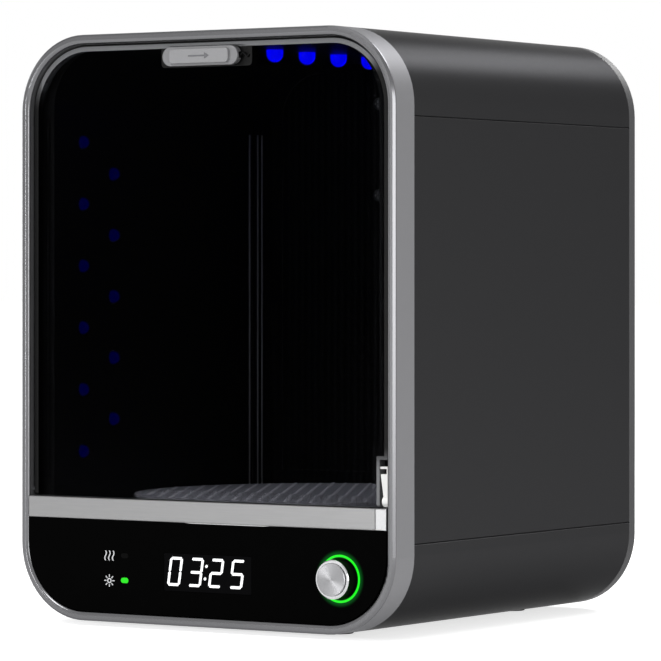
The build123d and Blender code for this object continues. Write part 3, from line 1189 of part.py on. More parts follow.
with BuildPart() as damper_gear:
    with BuildSketch(side_plane(GEAR_X - FIT_GAP, PINION_Y, PINION_Z)):
        Circle(PINION_RADIUS - DEDENDUM)
        with PolarLocations(0, PINION_TEETH, start_angle=MESH_ANGLE + 180 + PINION_PITCH / 2):
            add(pinion_tooth.sketch)
    extrude(amount=GEAR_WIDTH + 2 * FIT_GAP)
    with BuildSketch(side_plane(GEAR_X - FIT_GAP, PINION_Y, PINION_Z)):
        Circle(DAMPER_AXLE)
    extrude(amount=-(GEAR_X - FIT_GAP - WALL_OUTER_X - 1.1))

with BuildPart() as damper_body:
    with BuildSketch(side_plane(WALL_OUTER_X, PINION_Y, PINION_Z)):
        SlotOverall(22.0, 2 * DAMPER_RADIUS, rotation=90)
        with GridLocations(0, 16.0, 1, 2):
            Circle(1.2, mode=Mode.SUBTRACT)
    extrude(amount=1.4)
    with BuildSketch(side_plane(WALL_OUTER_X, PINION_Y, PINION_Z)):
        Circle(DAMPER_RADIUS)
    extrude(amount=DAMPER_THICKNESS)
    with BuildSketch(side_plane(WALL_OUTER_X + DAMPER_THICKNESS, PINION_Y, PINION_Z)):
        Circle(DAMPER_AXLE + RUN_GAP)
    extrude(amount=-(DAMPER_THICKNESS - 1.0), mode=Mode.SUBTRACT)

# ---------------------------------------------------------------- files
PIECES = {
    "front_ring": front_ring,
    "top_cover": top_cover,
    "bottom_cover": bottom_cover,
    "left_side_panel": left_side_panel,
    "right_side_panel": right_side_panel,
    "rear_cover": rear_cover,
    "rear_cover_screws": rear_cover_screws,
    "rubber_feet": rubber_feet,
    "front_chassis": front_chassis,
    "front_fascia": front_fascia,
    "crossbar": crossbar,
    "hinge_end_cap": hinge_end_cap,
    "control_panel": control_panel,
    "display_window": display_window,
    "display_module": display_module,
    "indicator_light_pipes": indicator_light_pipes,
    "knob_light_ring": knob_light_ring,
    "control_board": control_board,
    "encoder_body": encoder_body,
    "encoder_rotor": encoder_rotor,
    "knob_shaft": knob_shaft,
    "knob_skirt": knob_skirt,
    "knob_rim": knob_rim,
    "knob_cap": knob_cap,
    "left_light_wall": left_light_wall,
    "right_light_wall": right_light_wall,
    "ceiling_liner": ceiling_liner,
    "chamber_floor": chamber_floor,
    "back_reflector": back_reflector,
    "corner_trims": corner_trims,
    "left_led_board": left_led_board,
    "right_led_board": right_led_board,
    "ceiling_led_board": ceiling_led_board,
    "left_leds": left_leds,
    "right_leds": right_leds,
    "ceiling_leds": ceiling_leds,
    "dryer_duct": dryer_duct,
    "heater_core": heater_core,
    "fan_frame": fan_frame,
    "fan_rotor": fan_rotor,
    "dryer_screws": dryer_screws,
    "power_board": power_board,
    "dc_inlet": dc_inlet,
    "turntable_disc": turntable_disc,
    "turntable_hub": turntable_hub,
    "turntable_motor": turntable_motor,
    "motor_screws": motor_screws,
    "door_frame": door_frame,
    "door_glass": door_glass,
    "door_rails": door_rails,
    "door_seals": door_seals,
    "hinge_sector_arm": hinge_sector_arm,
    "hinge_pins": hinge_pins,
    "latch_slider": latch_slider,
    "latch_grip": latch_grip,
    "latch_spring": latch_spring,
    "latch_strike": latch_strike,
    "door_switch": door_switch,
    "damper_gear": damper_gear,
    "damper_body": damper_body,
}
for name, piece in PIECES.items():
    piece.part.label = name
    export_step(piece.part, f"parts/{name}.step")
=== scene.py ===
"""Dental lab light curing unit: the finished look of a benchtop cabinet with a smoked flip-down door.

Sizes in the dataclasses are millimetres, but the studio's are metres. Objects are in metres, in the frame of
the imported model: +Z is up, -Y is the front, and the origin is under the middle of the feet.
"""

import logging
import math
from dataclasses import dataclass
from enum import Enum
from typing import Iterable, Mapping, NamedTuple, Sequence

import bmesh
import bpy
from mathutils import Matrix, Vector

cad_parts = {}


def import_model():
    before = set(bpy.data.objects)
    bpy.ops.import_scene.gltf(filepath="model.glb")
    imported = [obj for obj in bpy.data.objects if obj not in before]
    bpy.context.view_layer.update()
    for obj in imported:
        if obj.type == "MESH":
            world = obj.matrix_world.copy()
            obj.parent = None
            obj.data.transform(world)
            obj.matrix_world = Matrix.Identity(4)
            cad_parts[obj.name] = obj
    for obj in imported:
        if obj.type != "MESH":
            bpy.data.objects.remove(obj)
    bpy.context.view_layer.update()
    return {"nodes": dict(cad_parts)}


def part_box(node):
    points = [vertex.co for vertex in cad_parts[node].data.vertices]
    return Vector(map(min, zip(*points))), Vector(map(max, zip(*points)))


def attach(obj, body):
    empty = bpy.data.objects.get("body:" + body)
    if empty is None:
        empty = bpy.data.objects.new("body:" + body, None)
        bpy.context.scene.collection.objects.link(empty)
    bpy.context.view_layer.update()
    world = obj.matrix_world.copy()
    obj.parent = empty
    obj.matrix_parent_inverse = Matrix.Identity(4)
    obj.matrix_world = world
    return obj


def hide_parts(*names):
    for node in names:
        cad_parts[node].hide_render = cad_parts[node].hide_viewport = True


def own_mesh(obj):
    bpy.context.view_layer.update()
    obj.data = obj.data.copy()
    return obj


LOG = logging.getLogger("curing_unit")
MM = 0.001
Point = tuple[float, float, float]
Span = tuple[float, float]
Piece = bpy.types.Object
CadNodes = Mapping[str, Piece]
NodeTree = bpy.types.NodeTree
ShaderNode = bpy.types.Node
Socket = bpy.types.NodeSocket
ORIGIN: Point = (0.0, 0.0, 0.0)
UNSCALED: Point = (1.0, 1.0, 1.0)
UP: Point = (0.0, 0.0, 1.0)
WHITE = (1.0, 1.0, 1.0, 1.0)
# Middle of the knob, which its face, its light ring and the painted glow on the panel share.
KNOB_CENTRE: Point = (75.5, 0.0, 28.0)
# What the finishes share: the detail of the grain, how much it changes the roughness, how strongly it stands
# out, and the roughness of a clear coat.
GRAIN_DETAIL = 3.0
SHEEN_SWING = 0.05
RELIEF_STRENGTH = 0.4
COAT_ROUGHNESS = 0.08
# A wave pattern at scale one repeats each tenth of pi.
WAVE_PERIOD = math.pi / 10
# Faces whose normals agree this well with a direction count as facing it.
FACING = 0.9
# Corners closer than this, in metres, become one.
WELD_DISTANCE = 1e-6
# Edges flatter than this are shaded smooth.
SMOOTH_ANGLE = math.radians(35)
# Edges sharper than this are rounded, in this many steps.
EASE_ANGLE = math.radians(40)
EASE_SEGMENTS = 2


# ---------------------------------------------------------------- shader nodes and finishes
def linear(colour: str) -> tuple[float, float, float, float]:
    """Turns an sRGB hex colour into linear light.

    Args:
        colour: six hex digits after a hash sign.

    Returns:
        Red, green, blue and an alpha of one.
    """
    parts = [int(colour[i : i + 2], 16) / 255 for i in (1, 3, 5)]
    red, green, blue = (c / 12.92 if c <= 0.04045 else ((c + 0.055) / 1.055) ** 2.4 for c in parts)
    return (red, green, blue, 1.0)


def add_node(
    tree: NodeTree,
    kind: str,
    settings: Mapping[str | int, object] | None = None,
    links: Mapping[str | int, Socket] | None = None,
) -> ShaderNode:
    """Adds one shader node with its settings and links.

    Args:
        tree: the node tree it goes into.
        kind: the node's type name.
        settings: values by property name, or by input name or number.
        links: sockets to link from, by input name or number.

    Returns:
        The new node.
    """
    made = tree.nodes.new(kind)
    for key, value in (settings or {}).items():
        if isinstance(key, str) and key.islower():
            setattr(made, key, value)
        else:
            made.inputs[key].default_value = value
    for key, socket in (links or {}).items():
        tree.links.new(socket, made.inputs[key])
    return made


class Grain(Enum):
    """How a surface was made, which sets the direction of its fine marks."""

    EVEN = (1.0, 1.0, 1.0)
    ALONG_X = (0.04, 1.0, 1.0)
    ALONG_Y = (1.0, 0.04, 1.0)


@dataclass(frozen=True)
class Finish:
    """One real material and how its surface was made."""

    name: str
    colour: str
    fleck: str
    metallic: float = 0.0
    roughness: float = 0.5
    ior: float = 1.5
    specular: float = 0.5
    coat: float = 0.0
    edge_tone: str = "#ffffff"
    grain: Grain = Grain.EVEN
    grain_mm: float = 1.2
    relief_mm: float = 0.01
    glow: str = ""
    glow_strength: float = 0.0

    def shader(self, tree: NodeTree) -> ShaderNode:
        """Adds the finish's own shader with its grain, fleck and relief.

        Args:
            tree: the material's node tree.

        Returns:
            The Principled shader.
        """
        place = add_node(tree, "ShaderNodeTexCoord")
        scale = Vector(self.grain.value) / (self.grain_mm * MM)
        spread = add_node(tree, "ShaderNodeMapping", {"Scale": scale}, {"Vector": place.outputs["Object"]})
        noise = {"Scale": 1.0, "Detail": GRAIN_DETAIL}
        pattern = add_node(tree, "ShaderNodeTexNoise", noise, {"Vector": spread.outputs["Vector"]})
        marks = pattern.outputs["Fac"]
        tones = {"data_type": "RGBA", 6: linear(self.colour), 7: linear(self.fleck)}
        tint = add_node(tree, "ShaderNodeMix", tones, {0: marks})
        swing = {3: max(self.roughness - SHEEN_SWING, 0.0), 4: min(self.roughness + SHEEN_SWING, 1.0)}
        sheen = add_node(tree, "ShaderNodeMapRange", swing, {0: marks})
        depth = {"Strength": RELIEF_STRENGTH, "Distance": self.relief_mm * MM}
        relief = add_node(tree, "ShaderNodeBump", depth, {"Height": marks})
        settings = {
            "Metallic": self.metallic,
            "IOR": self.ior,
            "Specular IOR Level": self.specular,
            "Specular Tint": linear(self.edge_tone),
            "Coat Weight": self.coat,
            "Coat Roughness": COAT_ROUGHNESS,
        }
        links = {
            "Base Color": tint.outputs[2],
            "Roughness": sheen.outputs[0],
            "Normal": relief.outputs["Normal"],
        }
        made = add_node(tree, "ShaderNodeBsdfPrincipled", settings, links)
        if self.glow:
            made.inputs["Emission Color"].default_value = linear(self.glow)
            made.inputs["Emission Strength"].default_value = self.glow_strength
        self.refine(tree, made)
        return made

    def refine(self, tree: NodeTree, made: ShaderNode) -> None:
        """Leaves the shader as it is; special finishes add their own nodes here."""

    def build(self) -> bpy.types.Material:
        """Makes the material, or returns the one made before."""
        known = bpy.data.materials.get(self.name)
        if known is not None:
            return known
        material = bpy.data.materials.new(self.name)
        material.use_nodes = True
        tree = material.node_tree
        tree.nodes.clear()
        surface = self.surface(tree)
        add_node(tree, "ShaderNodeOutputMaterial", links={"Surface": surface})
        return material

    def surface(self, tree: NodeTree) -> Socket:
        """Socket that the material's output shows."""
        return self.shader(tree).outputs["BSDF"]

    def axes(self, tree: NodeTree) -> bpy.types.NodeOutputs:
        """Sockets with a point's X, Y and Z in metres."""
        place = add_node(tree, "ShaderNodeTexCoord")
        return add_node(tree, "ShaderNodeSeparateXYZ", links={0: place.outputs["Object"]}).outputs

    def repaint(self, tree: NodeTree, made: ShaderNode, colour: str, share: Socket) -> None:
        """Blends another colour over a shader's paint.

        Args:
            tree: the material's node tree.
            made: the Principled shader.
            colour: the other colour.
            share: how much of it shows.
        """
        paint = made.inputs["Base Color"].links[0].from_socket
        tones = {"data_type": "RGBA", 7: linear(colour)}
        tint = add_node(tree, "ShaderNodeMix", tones, {0: share, 6: paint})
        tree.links.new(tint.outputs[2], made.inputs["Base Color"])

    def fade(self, tree: NodeTree, place: Socket, middle_mm: float, limits_mm: Span, levels: Span) -> Socket:
        """Adds the nodes that fade a level with the distance from a middle.

        Args:
            tree: the material's node tree.
            place: the place to judge, in metres.
            middle_mm: the middle.
            limits_mm: the distances at which the fade starts and ends.
            levels: the levels within its start and beyond its end.

        Returns:
            The socket that gives the level.
        """
        off = add_node(tree, "ShaderNodeMath", {"operation": "SUBTRACT", 1: middle_mm * MM}, {0: place})
        reach = add_node(tree, "ShaderNodeMath", {"operation": "ABSOLUTE"}, {0: off.outputs[0]})
        span = {1: limits_mm[0] * MM, 2: limits_mm[1] * MM, 3: levels[0], 4: levels[1]}
        settings = {"interpolation_type": "SMOOTHSTEP", **span}
        return add_node(tree, "ShaderNodeMapRange", settings, {0: reach.outputs[0]}).outputs[0]


@dataclass(frozen=True)
class PaneFinish(Finish):
    """Smoked clear sheet. Rays from lamps pass straight through, tinted, to light what lies behind it."""

    lamp_tint: str = "#f0f0f2"

    def surface(self, tree: NodeTree) -> Socket:
        """Mixes the refracting sheet with a straight passage for lamp rays.

        Args:
            tree: the material's node tree.

        Returns:
            The socket that the material's output shows.
        """
        sheet = self.shader(tree)
        sheet.inputs["Transmission Weight"].default_value = 1.0
        passage = add_node(tree, "ShaderNodeBsdfTransparent", {"Color": linear(self.lamp_tint)})
        ray = add_node(tree, "ShaderNodeLightPath")
        ways = {0: ray.outputs["Is Shadow Ray"], 1: sheet.outputs["BSDF"], 2: passage.outputs["BSDF"]}
        return add_node(tree, "ShaderNodeMixShader", links=ways).outputs["Shader"]


@dataclass(frozen=True)
class ClearFinish(Finish):
    """Thin clear moulding that shows mostly what lies behind it."""

    cover: float = 0.1

    def refine(self, tree: NodeTree, made: ShaderNode) -> None:
        """Makes the moulding mostly see-through."""
        made.inputs["Alpha"].default_value = self.cover


@dataclass(frozen=True)
class RoundFinish(Finish):
    """Finish whose look runs in circles about the knob's axis."""

    centre: Point = KNOB_CENTRE

    def away(self, tree: NodeTree) -> Socket:
        """Adds the nodes that measure how far a point is from the axis.

        Args:
            tree: the material's node tree.

        Returns:
            The socket that gives the distance in metres.
        """
        place = add_node(tree, "ShaderNodeTexCoord")
        flatten = {"operation": "MULTIPLY", 1: (1.0, 0.0, 1.0)}
        flat = add_node(tree, "ShaderNodeVectorMath", flatten, {0: place.outputs["Object"]})
        measure = {"operation": "DISTANCE", 1: Vector(self.centre) * MM}
        return add_node(tree, "ShaderNodeVectorMath", measure, {0: flat.outputs["Vector"]}).outputs["Value"]


@dataclass(frozen=True)
class PaintedGlowFinish(RoundFinish):
    """Gloss panel with a painted green glow round the knob's light ring, standing in for the ring's light
    falling on it.
    """

    inner_mm: float = 10.9
    outer_mm: float = 13.4
    overlap_mm: float = 0.2
    painted_glow: str = "#0b4a1a"

    def refine(self, tree: NodeTree, made: ShaderNode) -> None:
        """Adds a painted glow that fades away from the ring.

        Args:
            tree: the material's node tree.
            made: the Principled shader.
        """
        away = self.away(tree)
        limits = {1: self.inner_mm * MM, 2: self.outer_mm * MM, 3: 1.0, 4: 0.0}
        settings = {"interpolation_type": "SMOOTHERSTEP", **limits}
        fade = add_node(tree, "ShaderNodeMapRange", settings, {0: away})
        edge = {"operation": "GREATER_THAN", 1: (self.inner_mm - self.overlap_mm) * MM}
        outside = add_node(tree, "ShaderNodeMath", edge, {0: away})
        both = {0: fade.outputs[0], 1: outside.outputs[0]}
        level = add_node(tree, "ShaderNodeMath", {"operation": "MULTIPLY"}, both)
        made.inputs["Emission Color"].default_value = linear(self.painted_glow)
        tree.links.new(level.outputs[0], made.inputs["Emission Strength"])


@dataclass(frozen=True)
class GuideFinish(RoundFinish):
    """Light guide round the knob, brightest along the middle of its stroke."""

    stroke_mm: float = 10.35
    core_mm: float = 0.2
    half_mm: float = 0.75
    edge_glow: float = 0.02

    def refine(self, tree: NodeTree, made: ShaderNode) -> None:
        """Makes the glow fade to both edges of the stroke.

        Args:
            tree: the material's node tree.
            made: the Principled shader.
        """
        limits = (self.core_mm, self.half_mm)
        levels = (self.glow_strength, self.edge_glow)
        glow = self.fade(tree, self.away(tree), self.stroke_mm, limits, levels)
        tree.links.new(glow, made.inputs["Emission Strength"])


@dataclass(frozen=True)
class LipFinish(Finish):
    """Blasted band whose front lip is polished, and darkened with painted shade for the darker reflection it
    shows.
    """

    lip_painted_shade: str = "#68686a"
    lip_roughness: float = 0.22
    lip_y_mm: float = -105.9
    blend_mm: float = 0.6

    def refine(self, tree: NodeTree, made: ShaderNode) -> None:
        """Makes the front lip smoother, and darker with painted shade.

        Args:
            tree: the material's node tree.
            made: the Principled shader.
        """
        limits = {1: (self.lip_y_mm - self.blend_mm) * MM, 2: (self.lip_y_mm + self.blend_mm) * MM}
        front = add_node(tree, "ShaderNodeMapRange", {**limits, 3: 1.0, 4: 0.0}, {0: self.axes(tree)["Y"]})
        levels = {3: self.roughness, 4: self.lip_roughness}
        sheen = add_node(tree, "ShaderNodeMapRange", levels, {0: front.outputs[0]})
        tree.links.new(sheen.outputs[0], made.inputs["Roughness"])
        self.repaint(tree, made, self.lip_painted_shade, front.outputs[0])


@dataclass(frozen=True)
class SplitGlowFinish(Finish):
    """Light guide of which only the part below a height is lit."""

    lit_below_mm: float = 0.0

    def refine(self, tree: NodeTree, made: ShaderNode) -> None:
        """Cuts the light off above the height.

        Args:
            tree: the material's node tree.
            made: the Principled shader.
        """
        limit = {"operation": "LESS_THAN", 1: self.lit_below_mm * MM}
        lit = add_node(tree, "ShaderNodeMath", limit, {0: self.axes(tree)["Z"]})
        full = {"operation": "MULTIPLY", 1: self.glow_strength}
        level = add_node(tree, "ShaderNodeMath", full, {0: lit.outputs[0]})
        tree.links.new(level.outputs[0], made.inputs["Emission Strength"])


@dataclass(frozen=True)
class RibbedFinish(Finish):
    """Sheet pressed with fine upright ribs, whose crests carry a painted highlight."""

    pitch_mm: float = 4.0
    rib_mm: float = 0.3
    rib_strength: float = 0.5
    crest_highlight_tone: str = "#1c1c1f"

    def refine(self, tree: NodeTree, made: ShaderNode) -> None:
        """Adds the ribs as relief, and a painted highlight that makes their crests slightly paler.

        Args:
            tree: the material's node tree.
            made: the Principled shader.
        """
        place = add_node(tree, "ShaderNodeTexCoord")
        bands = {"bands_direction": "X", "Scale": WAVE_PERIOD / (self.pitch_mm * MM), "Distortion": 0.0}
        waves = add_node(tree, "ShaderNodeTexWave", bands, {"Vector": place.outputs["Object"]}).outputs["Fac"]
        tones = {"data_type": "RGBA", 6: linear(self.colour), 7: linear(self.crest_highlight_tone)}
        crest_highlight = add_node(tree, "ShaderNodeMix", tones, {0: waves})
        depth = {"Strength": self.rib_strength, "Distance": self.rib_mm * MM}
        relief = add_node(tree, "ShaderNodeBump", depth, {"Height": waves})
        tree.links.new(crest_highlight.outputs[2], made.inputs["Base Color"])
        tree.links.new(relief.outputs["Normal"], made.inputs["Normal"])


class ShadeStretch(NamedTuple):
    """Stretch of a moulding darkened with painted shade: its limits along X and Z, and how far it fades in
    from each, in millimetres.
    """

    x: Span
    z: Span
    fade: Span


@dataclass(frozen=True)
class ShadePaintedFinish(Finish):
    """Painted moulding with stretches darkened to black as painted shade."""

    painted_shade: str = "#020202"
    shade_stretches: tuple[ShadeStretch, ...] = ()

    def refine(self, tree: NodeTree, made: ShaderNode) -> None:
        """Turns the paint black with painted shade inside the shaded stretches.

        Args:
            tree: the material's node tree.
            made: the Principled shader.
        """
        axes = self.axes(tree)
        shaded = None
        for stretch in self.shade_stretches:
            sides = []
            for axis, (low, high), fade in zip("XZ", (stretch.x, stretch.z), stretch.fade):
                half = (high - low) / 2
                limits = (half - fade, half)
                sides.append(self.fade(tree, axes[axis], (low + high) / 2, limits, (1.0, 0.0)))
            inside = add_node(tree, "ShaderNodeMath", {"operation": "MULTIPLY"}, dict(enumerate(sides)))
            if shaded is not None:
                both = {0: shaded.outputs[0], 1: inside.outputs[0]}
                inside = add_node(tree, "ShaderNodeMath", {"operation": "MAXIMUM"}, both)
            shaded = inside
        self.repaint(tree, made, self.painted_shade, shaded.outputs[0])


@dataclass(frozen=True)
class TurnedFinish(RoundFinish):
    """Metal face turned on a lathe, whose fine circles stretch each highlight across them."""

    stretch: float = 0.85

    def refine(self, tree: NodeTree, made: ShaderNode) -> None:
        """Stretches the highlight across the turning marks.

        Args:
            tree: the material's node tree.
            made: the Principled shader.
        """
        place = add_node(tree, "ShaderNodeTexCoord")
        middle = {"operation": "SUBTRACT", 1: Vector(self.centre) * MM}
        spoke = add_node(tree, "ShaderNodeVectorMath", middle, {0: place.outputs["Object"]})
        axis = {"operation": "CROSS_PRODUCT", 1: (0.0, 1.0, 0.0)}
        groove = add_node(tree, "ShaderNodeVectorMath", axis, {0: spoke.outputs["Vector"]})
        frames = {"vector_type": "VECTOR", "convert_from": "OBJECT", "convert_to": "WORLD"}
        turned = add_node(tree, "ShaderNodeVectorTransform", frames, {0: groove.outputs["Vector"]})
        tree.links.new(turned.outputs["Vector"], made.inputs["Tangent"])
        made.inputs["Anisotropic"].default_value = self.stretch


# Satin powder coat over sheet aluminium: dark, even, with a soft wide sheen and a very fine orange peel.
CASE_COAT = Finish(
    "powder_coated_aluminium", "#353536", "#39393a", 0.84, 0.36, specular=0.06, edge_tone="#a4a4a4",
    grain_mm=1.6, relief_mm=0.006,
)
# Bead-blasted, anodised aluminium: grey, with its grain drawn a little coarser than real beads leave it.
# Its polished front lip is darkened with painted shade.
RING_COAT_AND_LIP_SHADE = LipFinish(
    "blasted_aluminium_painted_lip_shade", "#88888a", "#818183", 1.0, 0.56, edge_tone="#b0b0b2",
    grain_mm=0.35, relief_mm=0.0005,
)
# Injection-moulded ABS with a spark-eroded texture.
REAR_PLASTIC = Finish("moulded_black_abs", "#242427", "#2b2b2e", 0.0, 0.55, grain_mm=0.8, relief_mm=0.03)
# Aluminium strip brushed lengthways, which draws long faint streaks.
BAR_SILVER = Finish(
    "brushed_silver_strip", "#8b8b8b", "#838384", 1.0, 0.34,
    grain=Grain.ALONG_X, grain_mm=0.6, relief_mm=0.004,
)
# The same strip metal, cut across and polished, at the hinge's end.
BAR_CAP = Finish("polished_silver_cap", "#b7b7b8", "#afafb1", 1.0, 0.22, grain_mm=1.0, relief_mm=0.003)
# Cast acrylic, black and polished. Its coat of hard lacquer mirrors little when seen nearly head on.
# Round the knob's light ring the panel carries a painted green glow.
PANEL_GLOSS_AND_GLOW = PaintedGlowFinish(
    "black_acrylic_painted_glow", "#010101", "#020202", 0.0, 0.12, specular=0.01, grain_mm=6.0, relief_mm=0.002
)
# Smoked acrylic over the display, a little paler than the panel because its module glows faintly.
WINDOW_GLOSS = Finish("smoked_display_acrylic", "#070708", "#09090a", 0.0, 0.15, specular=0.01, grain_mm=5.0)
# Satin ABS of the front bulkhead behind the bezel.
FASCIA_PLASTIC = Finish("satin_black_abs", "#0c0c0d", "#101011", 0.0, 0.45, specular=0.15, grain_mm=1.0)
# Door frame in satin paint over moulded ABS, with black painted shade in the catch's pocket and down both
# sides.
FRAME_PAINT_AND_SHADE = ShadePaintedFinish(
    "door_paint_with_painted_shade", "#6e6f71", "#67686a", 0.35, 0.38, specular=0.2, grain_mm=1.0,
    shade_stretches=(
        ShadeStretch((-26.0, 26.0), (255.0, 269.9), (0.1, 0.1)),
        ShadeStretch((86.0, 120.0), (76.0, 267.0), (8.0, 12.0)),
        ShadeStretch((-120.0, -94.8), (40.0, 266.0), (1.0, 24.0)),
    ),
)
# Smoked polycarbonate that stops curing light: clear, hard-coated and very dark.
DOOR_PANE = PaneFinish(
    "smoked_polycarbonate", "#8f9093", "#8d8e91", 0.0, 0.02, ior=1.03, grain_mm=40.0, relief_mm=0.0
)
# Rails bonded behind the pane, moulded in the same smoked plastic and thin enough to vanish.
RAIL_CLEAR = ClearFinish("clear_smoked_rail", "#0a0a0b", "#0c0c0d", 0.0, 0.2, specular=0.1, grain_mm=20.0)
# Dark anodised sheet inside the chamber, with just enough sheen to catch its own edges.
REFLECTOR = Finish("dark_anodised_sheet", "#0b0b0c", "#0f0f11", 0.2, 0.4, specular=0.25, grain_mm=2.0)
# The same sheet pressed into fine ribs, at the back, with a painted highlight on their crests.
RIBBED_SHEET_AND_HIGHLIGHT = RibbedFinish(
    "ribbed_sheet_painted_crest_highlight", "#0a0a0b", "#0e0e10", 0.2, 0.4, specular=0.25, grain_mm=2.0
)
# Etched stainless plate of the turntable, dull and pale.
DISC_METAL = Finish("etched_turntable_steel", "#bcbcc3", "#b2b2ba", 0.0, 0.6, specular=0.15, grain_mm=1.4)
# Raised pips, made near white as a painted highlight of the light they catch.
PIP_HIGHLIGHT_PAINT = Finish("turntable_pips_painted_highlight", "#f0f0f4", "#e4e4ea", 0.0, 0.4, grain_mm=1.0)
# Polished rim round the knob's face.
KNOB_RIM = Finish("polished_knob_rim", "#bababc", "#b3b3b5", 1.0, 0.18, grain_mm=1.5, relief_mm=0.002)
# Solid aluminium knob face, turned, so its highlight spreads into a fan.
KNOB_FACE = TurnedFinish("turned_aluminium", "#98989a", "#8e8e90", 1.0, 0.3, grain_mm=0.8, relief_mm=0.003)
# Black anodised skirt with fine lengthways serrations.
KNOB_SIDE = Finish(
    "black_anodised_skirt", "#060606", "#0a0a0a", 0.0, 0.5, specular=0.03,
    grain=Grain.ALONG_Y, grain_mm=0.5, relief_mm=0.004,
)
# Glass-filled nylon of hidden brackets and housings.
DARK_PLASTIC = Finish("black_nylon", "#19191b", "#1f1f21", 0.0, 0.55, grain_mm=0.9, relief_mm=0.02)
# The catch is moulded in grey ABS and painted satin, its grip a shade lighter and its arrow printed darker.
CATCH_PAINT = Finish("satin_grey_catch", "#808082", "#7a7a7c", 0.25, 0.4, grain_mm=0.9)
GRIP_PAINT = Finish("pale_grey_grip", "#8f8f91", "#88888a", 0.2, 0.38, grain_mm=0.9)
ARROW_PAINT = Finish("grip_arrow_print", "#66666a", "#616164", 0.1, 0.5, grain_mm=0.8)
# Clear acrylic light guides over green lamps.
RING_LIGHT = GuideFinish(
    "green_light_guide", "#04140a", "#041409", 0.0, 0.3, specular=0.1,
    glow="#1ce620", glow_strength=1.5, grain_mm=1.5,
)
DOT_LIGHT = SplitGlowFinish(
    "green_indicator_guide", "#080808", "#0a0a0a", 0.0, 0.3, specular=0.02,
    glow="#35f02d", glow_strength=1.0, grain_mm=1.5, lit_below_mm=28.0,
)
# White digits of the display behind its window, and the white print beside the indicators, which has a faint
# painted glow.
DIGIT_LIGHT = Finish("white_display_light", "#dcdcdc", "#d8d8d8", 0.0, 0.4, glow="#f4f6f8", glow_strength=0.8)
ICON_PRINT_AND_GLOW = Finish("white_print_painted_glow", "#cfd0d2", "#c6c7c9", 0.0, 0.5, glow="#9a9b9d", glow_strength=0.25)
# Epoxy lenses of the ceiling lamps, lit, and of the side lamps, dimmed.
CEILING_LAMP = Finish(
    "lit_blue_lens", "#0000c8", "#0000c8", 0.0, 0.2, specular=0.1, glow="#0000ff", glow_strength=2.6
)
SIDE_LAMP = Finish(
    "dim_blue_lens", "#010114", "#010114", 0.0, 0.4, specular=0.0, glow="#00004e", glow_strength=1.0
)
# Epoxy-glass board under a green solder mask.
BOARD_GREEN = Finish("green_circuit_board", "#0f4a2c", "#135535", 0.0, 0.4, coat=0.3, grain_mm=3.0)
# Pressed or turned steel, bright zinc plated.
STEEL = Finish("zinc_plated_steel", "#a2a3a6", "#95969a", 1.0, 0.3, grain_mm=0.8, relief_mm=0.004)
# Music wire, blackened, so that the spring stays unseen in its pocket.
SPRING_STEEL = Finish("blackened_spring_wire", "#0c0c0d", "#101011", 0.3, 0.5, specular=0.2, grain_mm=0.8)
# Moulded rubber, dull and slightly rough.
RUBBER = Finish("black_rubber", "#141415", "#1a1a1b", 0.0, 0.8, specular=0.3, grain_mm=0.7, relief_mm=0.03)
# Beads down the chamber's side walls, painted pale as painted highlight lines along its rear corners.
BEAD_HIGHLIGHT_PAINT = Finish("bead_painted_highlight", "#d8d8da", "#d0d0d2", 0.0, 0.4, grain_mm=1.0)
# Natural acetal: milky, waxy, slightly warm.
ACETAL = Finish("natural_acetal", "#fefefc", "#fafaf8", 0.0, 0.45, grain_mm=1.2)


# ---------------------------------------------------------------- shaping with Blender's own operators
def clear_selection() -> None:
    """Leaves edit mode and deselects everything."""
    if bpy.context.mode != "OBJECT":
        bpy.ops.object.mode_set(mode="OBJECT")
    bpy.ops.object.select_all(action="DESELECT")


def take(piece: Piece) -> None:
    """Makes one piece the selected and active one.

    Args:
        piece: the piece.
    """
    clear_selection()
    piece.select_set(True)
    bpy.context.view_layer.objects.active = piece


def pick_facing(piece: Piece, direction: Point) -> None:
    """Selects, in edit mode, the faces that face a direction.

    Args:
        piece: the piece being edited.
        direction: the direction, one unit long.
    """
    mesh = bmesh.from_edit_mesh(piece.data)
    for face in mesh.faces:
        face.select_set(False)
    mesh.select_flush(False)
    for face in mesh.faces:
        if face.normal.dot(Vector(direction)) > FACING:
            face.select_set(True)
    bmesh.update_edit_mesh(piece.data)


class Step(NamedTuple):
    """One extrusion: how far the new faces move, in metres, and their scale about the origin."""

    move: Point
    scale: Point = UNSCALED


def grow(steps: Iterable[Step]) -> None:
    """Extrudes the selected faces step by step, in edit mode.

    Args:
        steps: the extrusions, in order.
    """
    for step in steps:
        bpy.ops.mesh.extrude_region_move(TRANSFORM_OT_translate={"value": step.move})
        if step.scale != UNSCALED:
            bpy.ops.transform.resize(value=step.scale, center_override=ORIGIN)


def raise_faces(piece: Piece, direction: Point, steps: Iterable[Step]) -> None:
    """Extrudes, step by step, the faces of a piece that face a direction.

    Args:
        piece: the piece.
        direction: the direction, one unit long.
        steps: the extrusions, in order.
    """
    take(piece)
    bpy.ops.object.mode_set(mode="EDIT")
    pick_facing(piece, direction)
    grow(steps)
    bpy.ops.object.mode_set(mode="OBJECT")


def thicken(piece: Piece, depth_mm: float) -> None:
    """Gives a flat piece its thickness along Y.

    Args:
        piece: the flat piece.
        depth_mm: the thickness, negative when it grows towards the front.
    """
    take(piece)
    bpy.ops.object.mode_set(mode="EDIT")
    bpy.ops.mesh.select_all(action="SELECT")
    grow([Step((0.0, depth_mm * MM, 0.0))])
    bpy.ops.object.mode_set(mode="OBJECT")


